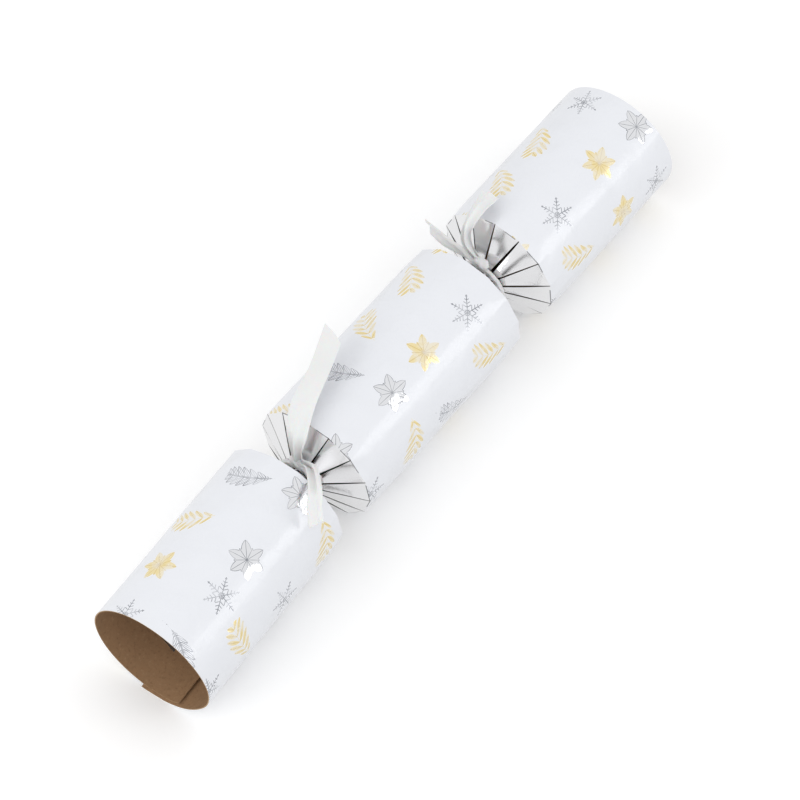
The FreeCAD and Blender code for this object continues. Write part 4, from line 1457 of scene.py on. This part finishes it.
@dataclass
class PaperHat:
    """A tissue crown, folded flat in leaves that its own fold presses together."""

    sizes: Cracker
    start: float = -40.0
    length: float = 40.0
    width: float = 21.6
    bottom: float = 3.95
    pitch: float = 0.6
    leaves: int = 7
    thickness: float = 0.12
    leaf_steps: int = 14
    bend_steps: int = 6
    rows: int = 40

    def build(self) -> None:
        """Makes the folded tissue as one sheet, and lets it ride on its own body."""
        path: list[tuple[float, float]] = []
        half = self.width / 2
        bend = self.pitch / 2
        for leaf in range(self.leaves):
            level = self.bottom + leaf * self.pitch
            sign = 1.0 if leaf % 2 == 0 else -1.0
            for k in range(self.leaf_steps + 1):
                path.append((sign * (half - bend) * (2 * k / self.leaf_steps - 1), level))
            for k in range(1, self.bend_steps if leaf < self.leaves - 1 else 0):
                turn = math.pi * k / self.bend_steps - math.pi / 2
                y = sign * (half - bend + bend * math.cos(turn))
                path.append((y, level + bend + bend * math.sin(turn)))
        piece = new_grid("folded_paper_hat", self.rows, len(path) - 1)
        for vertex in piece.data.vertices:
            t = (vertex.co.x + 1.0) / 2.0
            y, z = path[round((vertex.co.y + 1.0) / 2.0 * (len(path) - 1))]
            ripple = 0.09 * rumple(t * 9.0, y * 0.25, 4.0)
            vertex.co = ((self.start + t * self.length) * MM, y * MM, (z + ripple) * MM)
        thicken(piece, self.thickness)
        piece.data.materials.append(Stock.TISSUE.material())
        smooth_by_angle(piece, 50.0)
        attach(piece, "hat")
        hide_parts("paper_hat")


@dataclass
class SnapFixing:
    """The left snap card and the two dabs of adhesive that hold the cards to their walls.

    All three lie in a plane turned about the tube's axis. The left card has sprung a
    little from its dab, and one corner of its end curls down inside the mouth. level and
    wall are the card's heights over the axis in the barrel and at the mouth."""

    sizes: Cracker
    turn: float = 21.0
    width: float = 8.0
    thickness: float = 0.35
    level: float = -0.375
    overlap: float = 11.0
    wall: float = 25.38
    throat_run: float = 4.0
    curl_run: float = 4.6
    curl_drop: float = 3.8
    dab_radius: float = 2.3
    dab_inset: float = 5.2
    dab_top: float = 25.86

    def place(self, tie: float, yaw: float) -> Matrix:
        """The frame of a card in its end: at the tie, yawed and turned to the card."""
        move = Matrix.Translation(Vector((tie, 0.0, self.sizes.axis_height)))
        yawed = Matrix.Rotation(math.radians(yaw), 4, "Z")
        return move @ yawed @ Matrix.Rotation(math.radians(self.turn), 4, "X")

    def height(self, past: float) -> float:
        """The left card's level over the axis, by how far it has run past its tie."""
        s = self.sizes
        ramp_end = s.left_gap / 2 + s.crease_blend + 0.5
        total = 0.0
        spread = (-2.0, -1.0, 0.0, 1.0, 2.0)
        for shift in spread:
            share = (past + shift - self.throat_run) / (ramp_end - self.throat_run)
            total += min(max(share, 0.0), 1.0)
        return self.level + (self.wall - self.level) * total / len(spread)

    def card(self) -> None:
        """Makes the left card as one strip of board, whose dark brown paints the shade
        inside the mouth.
        """
        s = self.sizes
        start = s.left_tie - self.overlap
        length = s.left_gap / 2 + s.left_end - 0.25
        flat = self.place(s.left_tie, 0.0)
        yawed = self.place(s.left_tie, s.left_yaw)
        piece = new_grid("left_snap_strip", 220, 12)
        for vertex in piece.data.vertices:
            past = start + (vertex.co.x + 1.0) / 2.0 * (length - start)
            side = vertex.co.y
            fall = max(0.0, past - length + self.curl_run) / self.curl_run
            corner = ((1.0 - side) / 2.0) ** 1.6
            drop = self.curl_drop * fall * fall * (0.12 + 0.88 * corner)
            spot = Vector((-past, side * self.width / 2, self.height(past) - drop))
            vertex.co = ((flat if past < 1.0 else yawed) @ spot) * MM
        thicken(piece, self.thickness)
        piece.data.materials.append(Stock.CARD.material())
        smooth_by_angle(piece, 40.0)
        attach(piece, "left_end")
        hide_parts("left_snap_card")

    def dab(self, side: str, mouth: float, place: Matrix) -> None:
        """Makes a squeezed dab of adhesive between a card and the wall.

        Args:
            side: left or right.
            mouth: the mouth's place along the end, in millimetres from its tie.
            place: the card's frame.
        """
        deselect_all()
        bpy.ops.mesh.primitive_uv_sphere_add(segments=48, ring_count=24, radius=1.0)
        piece = named(f"{side}_adhesive_dab")
        low = self.wall + self.thickness / 2
        centre = mouth - math.copysign(self.dab_inset, mouth)
        for vertex in piece.data.vertices:
            way = vertex.co.normalized()
            ragged = 1.0 + 0.12 * rumple(way.x * 2.0, way.y * 2.0, mouth)
            x = way.x * self.dab_radius * ragged
            y = way.y * self.dab_radius * 0.9 * ragged
            top = math.sqrt(self.dab_top**2 - y * y)
            share = (max(-1.0, min(1.0, way.z * 1.6)) + 1.0) / 2.0
            vertex.co = (place @ Vector((centre + x, y, low + (top - low) * share))) * MM
        piece.data.materials.append(Stock.GLUE.material())
        smooth_by_angle(piece, 50.0)
        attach(piece, f"{side}_end")
        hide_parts(f"{side}_snap_glue")

    def build(self) -> None:
        """Makes the card and both dabs."""
        s = self.sizes
        self.card()
        left_mouth = -(s.left_gap / 2 + s.left_end)
        right_mouth = s.right_gap / 2 + s.right_end
        self.dab("left", left_mouth, self.place(s.left_tie, s.left_yaw))
        self.dab("right", right_mouth, self.place(s.right_tie, s.right_yaw))


CARRIED_OVER = {
    "barrel_seam_glue": Stock.GLUE,
    "left_seam_glue": Stock.GLUE,
    "right_seam_glue": Stock.GLUE,
    "right_snap_card": Stock.CARD,
    "snap_grit": Stock.GRIT,
    "snap_compound": Stock.COMPOUND,
    "snap_sleeve": Stock.SLEEVE,
    "gift_top": Stock.RED_WOOD,
    "gift_spindle": Stock.PLAIN_WOOD,
    "motto_slip": Stock.MOTTO,
}


def dress_cad_nodes(nodes: dict[str, Piece]) -> None:
    """Gives each CAD node that stays in view its own finish.

    Args:
        nodes: the CAD nodes by name.
    """
    for name, stock in CARRIED_OVER.items():
        piece = nodes[name]
        if not piece.material_slots:
            piece.data.materials.append(None)
        for slot in piece.material_slots:
            slot.material = stock.material()
        LOG.info("%s: %s", name, stock.value.name)


# ------------------------------------------------------------------ the studio


@dataclass(frozen=True)
class WhiteFloor(Finish):
    """A seamless white sheet under the object, which keeps its soft shadow."""

    name: str = "white_floor"
    white: str = "#FFFFFF"
    bounce: str = "#E2E2E2"
    glow: float = 0.08
    mirrored: str = "#BCBCBC"
    mirrored_glow: float = 0.42

    def draw(self, brush: Brush) -> None:
        """Full white to the camera, even in the foil, and darker as a light source."""
        camera = brush.ray("Camera")
        glossy = brush.ray("Glossy")
        tone = brush.mix(camera, self.bounce, self.white)
        tone = brush.mix(glossy, tone, self.mirrored)
        brush.surface(
            {
                "Base Color": tone,
                "Emission Color": linear_colour(self.white),
                "Emission Strength": camera * self.glow + glossy * self.mirrored_glow,
                "Roughness": 1.0,
                "Specular IOR Level": 0.0,
            }
        )


@dataclass(frozen=True)
class Lamp:
    """A square lamp that looks at the object.

    Its place and the length of its sides are in metres, and its power is in watts.
    mirrored says whether the foil shows it."""

    name: str
    spot: Point
    size: float
    power: float
    mirrored: bool = True

    def hang(self) -> None:
        """Adds the lamp to the scene."""
        data = bpy.data.lights.new(self.name, "AREA")
        data.shape = "SQUARE"
        data.size = self.size
        data.energy = self.power
        lamp = bpy.data.objects.new(self.name, data)
        lamp.location = self.spot
        aim = Vector((0.0, 0.0, 0.02)) - lamp.location
        lamp.rotation_euler = aim.to_track_quat("-Z", "Y").to_euler()
        lamp.visible_glossy = self.mirrored
        bpy.context.scene.collection.objects.link(lamp)


@dataclass
class Studio:
    """The floor, the soft light and the camera at the picture's own place."""

    # The camera's direction from the object and its roll, in degrees.
    azimuth: float = -51.247
    elevation: float = 58.488
    roll: float = -0.819
    # The camera's distance and its shift to the side and up, in millimetres.
    distance: float = 1424.175
    shift_right: float = 3.66
    shift_up: float = 7.072
    origin: Point = (-1.548, 0.0, 0.16)
    lens: float = 162.688
    sensor: float = 36.0
    world_strength: float = 0.88
    world_mirrored: float = 0.94
    # A large soft lamp overhead. A smaller box low on the picture's right, which gives the
    # coated board its highlight. A third that looks into the open mouth at the left.
    lamps: tuple[Lamp, ...] = (
        Lamp("soft_key", (-0.7, -0.5, 1.3), 1.2, 1.5),
        Lamp("side_box", (0.49, -0.98, 0.5), 0.42, 1.5),
        Lamp("mouth_box", (-1.1, 0.55, 0.75), 1.0, 3.4, mirrored=False),
    )

    def camera(self) -> None:
        """Puts the camera where the picture was taken from."""
        a = math.radians(self.azimuth)
        e = math.radians(self.elevation)
        r = math.radians(self.roll)
        back = Vector((math.sin(a) * math.cos(e), -math.cos(a) * math.cos(e), math.sin(e)))
        right = Vector((math.cos(a), math.sin(a), 0.0))
        up = back.cross(right)
        side = right * math.cos(r) + up * math.sin(r)
        top = up * math.cos(r) - right * math.sin(r)
        spot = side * self.shift_right + top * self.shift_up + back * self.distance
        spot += Vector(self.origin)
        data = bpy.data.cameras.new("picture_camera")
        data.lens = self.lens
        data.sensor_width = self.sensor
        data.clip_start = 0.1
        data.clip_end = 10.0
        camera = bpy.data.objects.new("picture_camera", data)
        turn = Matrix((side, top, back)).transposed().to_4x4()
        camera.matrix_world = Matrix.Translation(spot * MM) @ turn
        bpy.context.scene.collection.objects.link(camera)
        bpy.context.scene.camera = camera

    def floor(self) -> None:
        """Lays the white sheet on the table's plane."""
        deselect_all()
        bpy.ops.mesh.primitive_plane_add(size=6.0, location=(0.0, 0.0, -0.0001))
        plane = named("white_sheet")
        plane.data.materials.append(WhiteFloor().build())

    def light(self) -> None:
        """Makes a white surround and hangs the lamps."""
        world = bpy.data.worlds.new("white_surround")
        brush = Brush.start(world, "ShaderNodeBackground", "ShaderNodeOutputWorld")
        # The camera sees full white, the foil nearly so, and the light is a little less.
        inputs = {0: brush.ray("Glossy"), 3: self.world_strength, 4: self.world_mirrored}
        lit = brush.draw("ShaderNodeMapRange", {}, inputs)
        inputs = {0: brush.ray("Camera"), 3: lit, 4: 1.0}
        strength = brush.draw("ShaderNodeMapRange", {}, inputs)
        brush.surface({"Color": (1.0, 1.0, 1.0, 1.0), "Strength": strength})
        bpy.context.scene.world = world
        for lamp in self.lamps:
            lamp.hang()

    def build(self) -> None:
        """Sets the whole studio up."""
        self.camera()
        self.floor()
        self.light()
        bpy.context.scene.view_settings.view_transform = "Standard"


def main() -> None:
    """Builds and dresses the cracker in the CAD's own frame."""
    logging.basicConfig(level=logging.INFO, format="%(name)s: %(message)s")
    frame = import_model()
    sizes = Cracker()
    for tube in board_tubes(sizes):
        tube.build()
    for tie in ribbon_ties(sizes):
        tie.build()
    PaperHat(sizes).build()
    SnapFixing(sizes).build()
    dress_cad_nodes(frame["nodes"])
    Studio().build()
    bpy.context.view_layer.update()


if __name__ == "__main__":
    main()
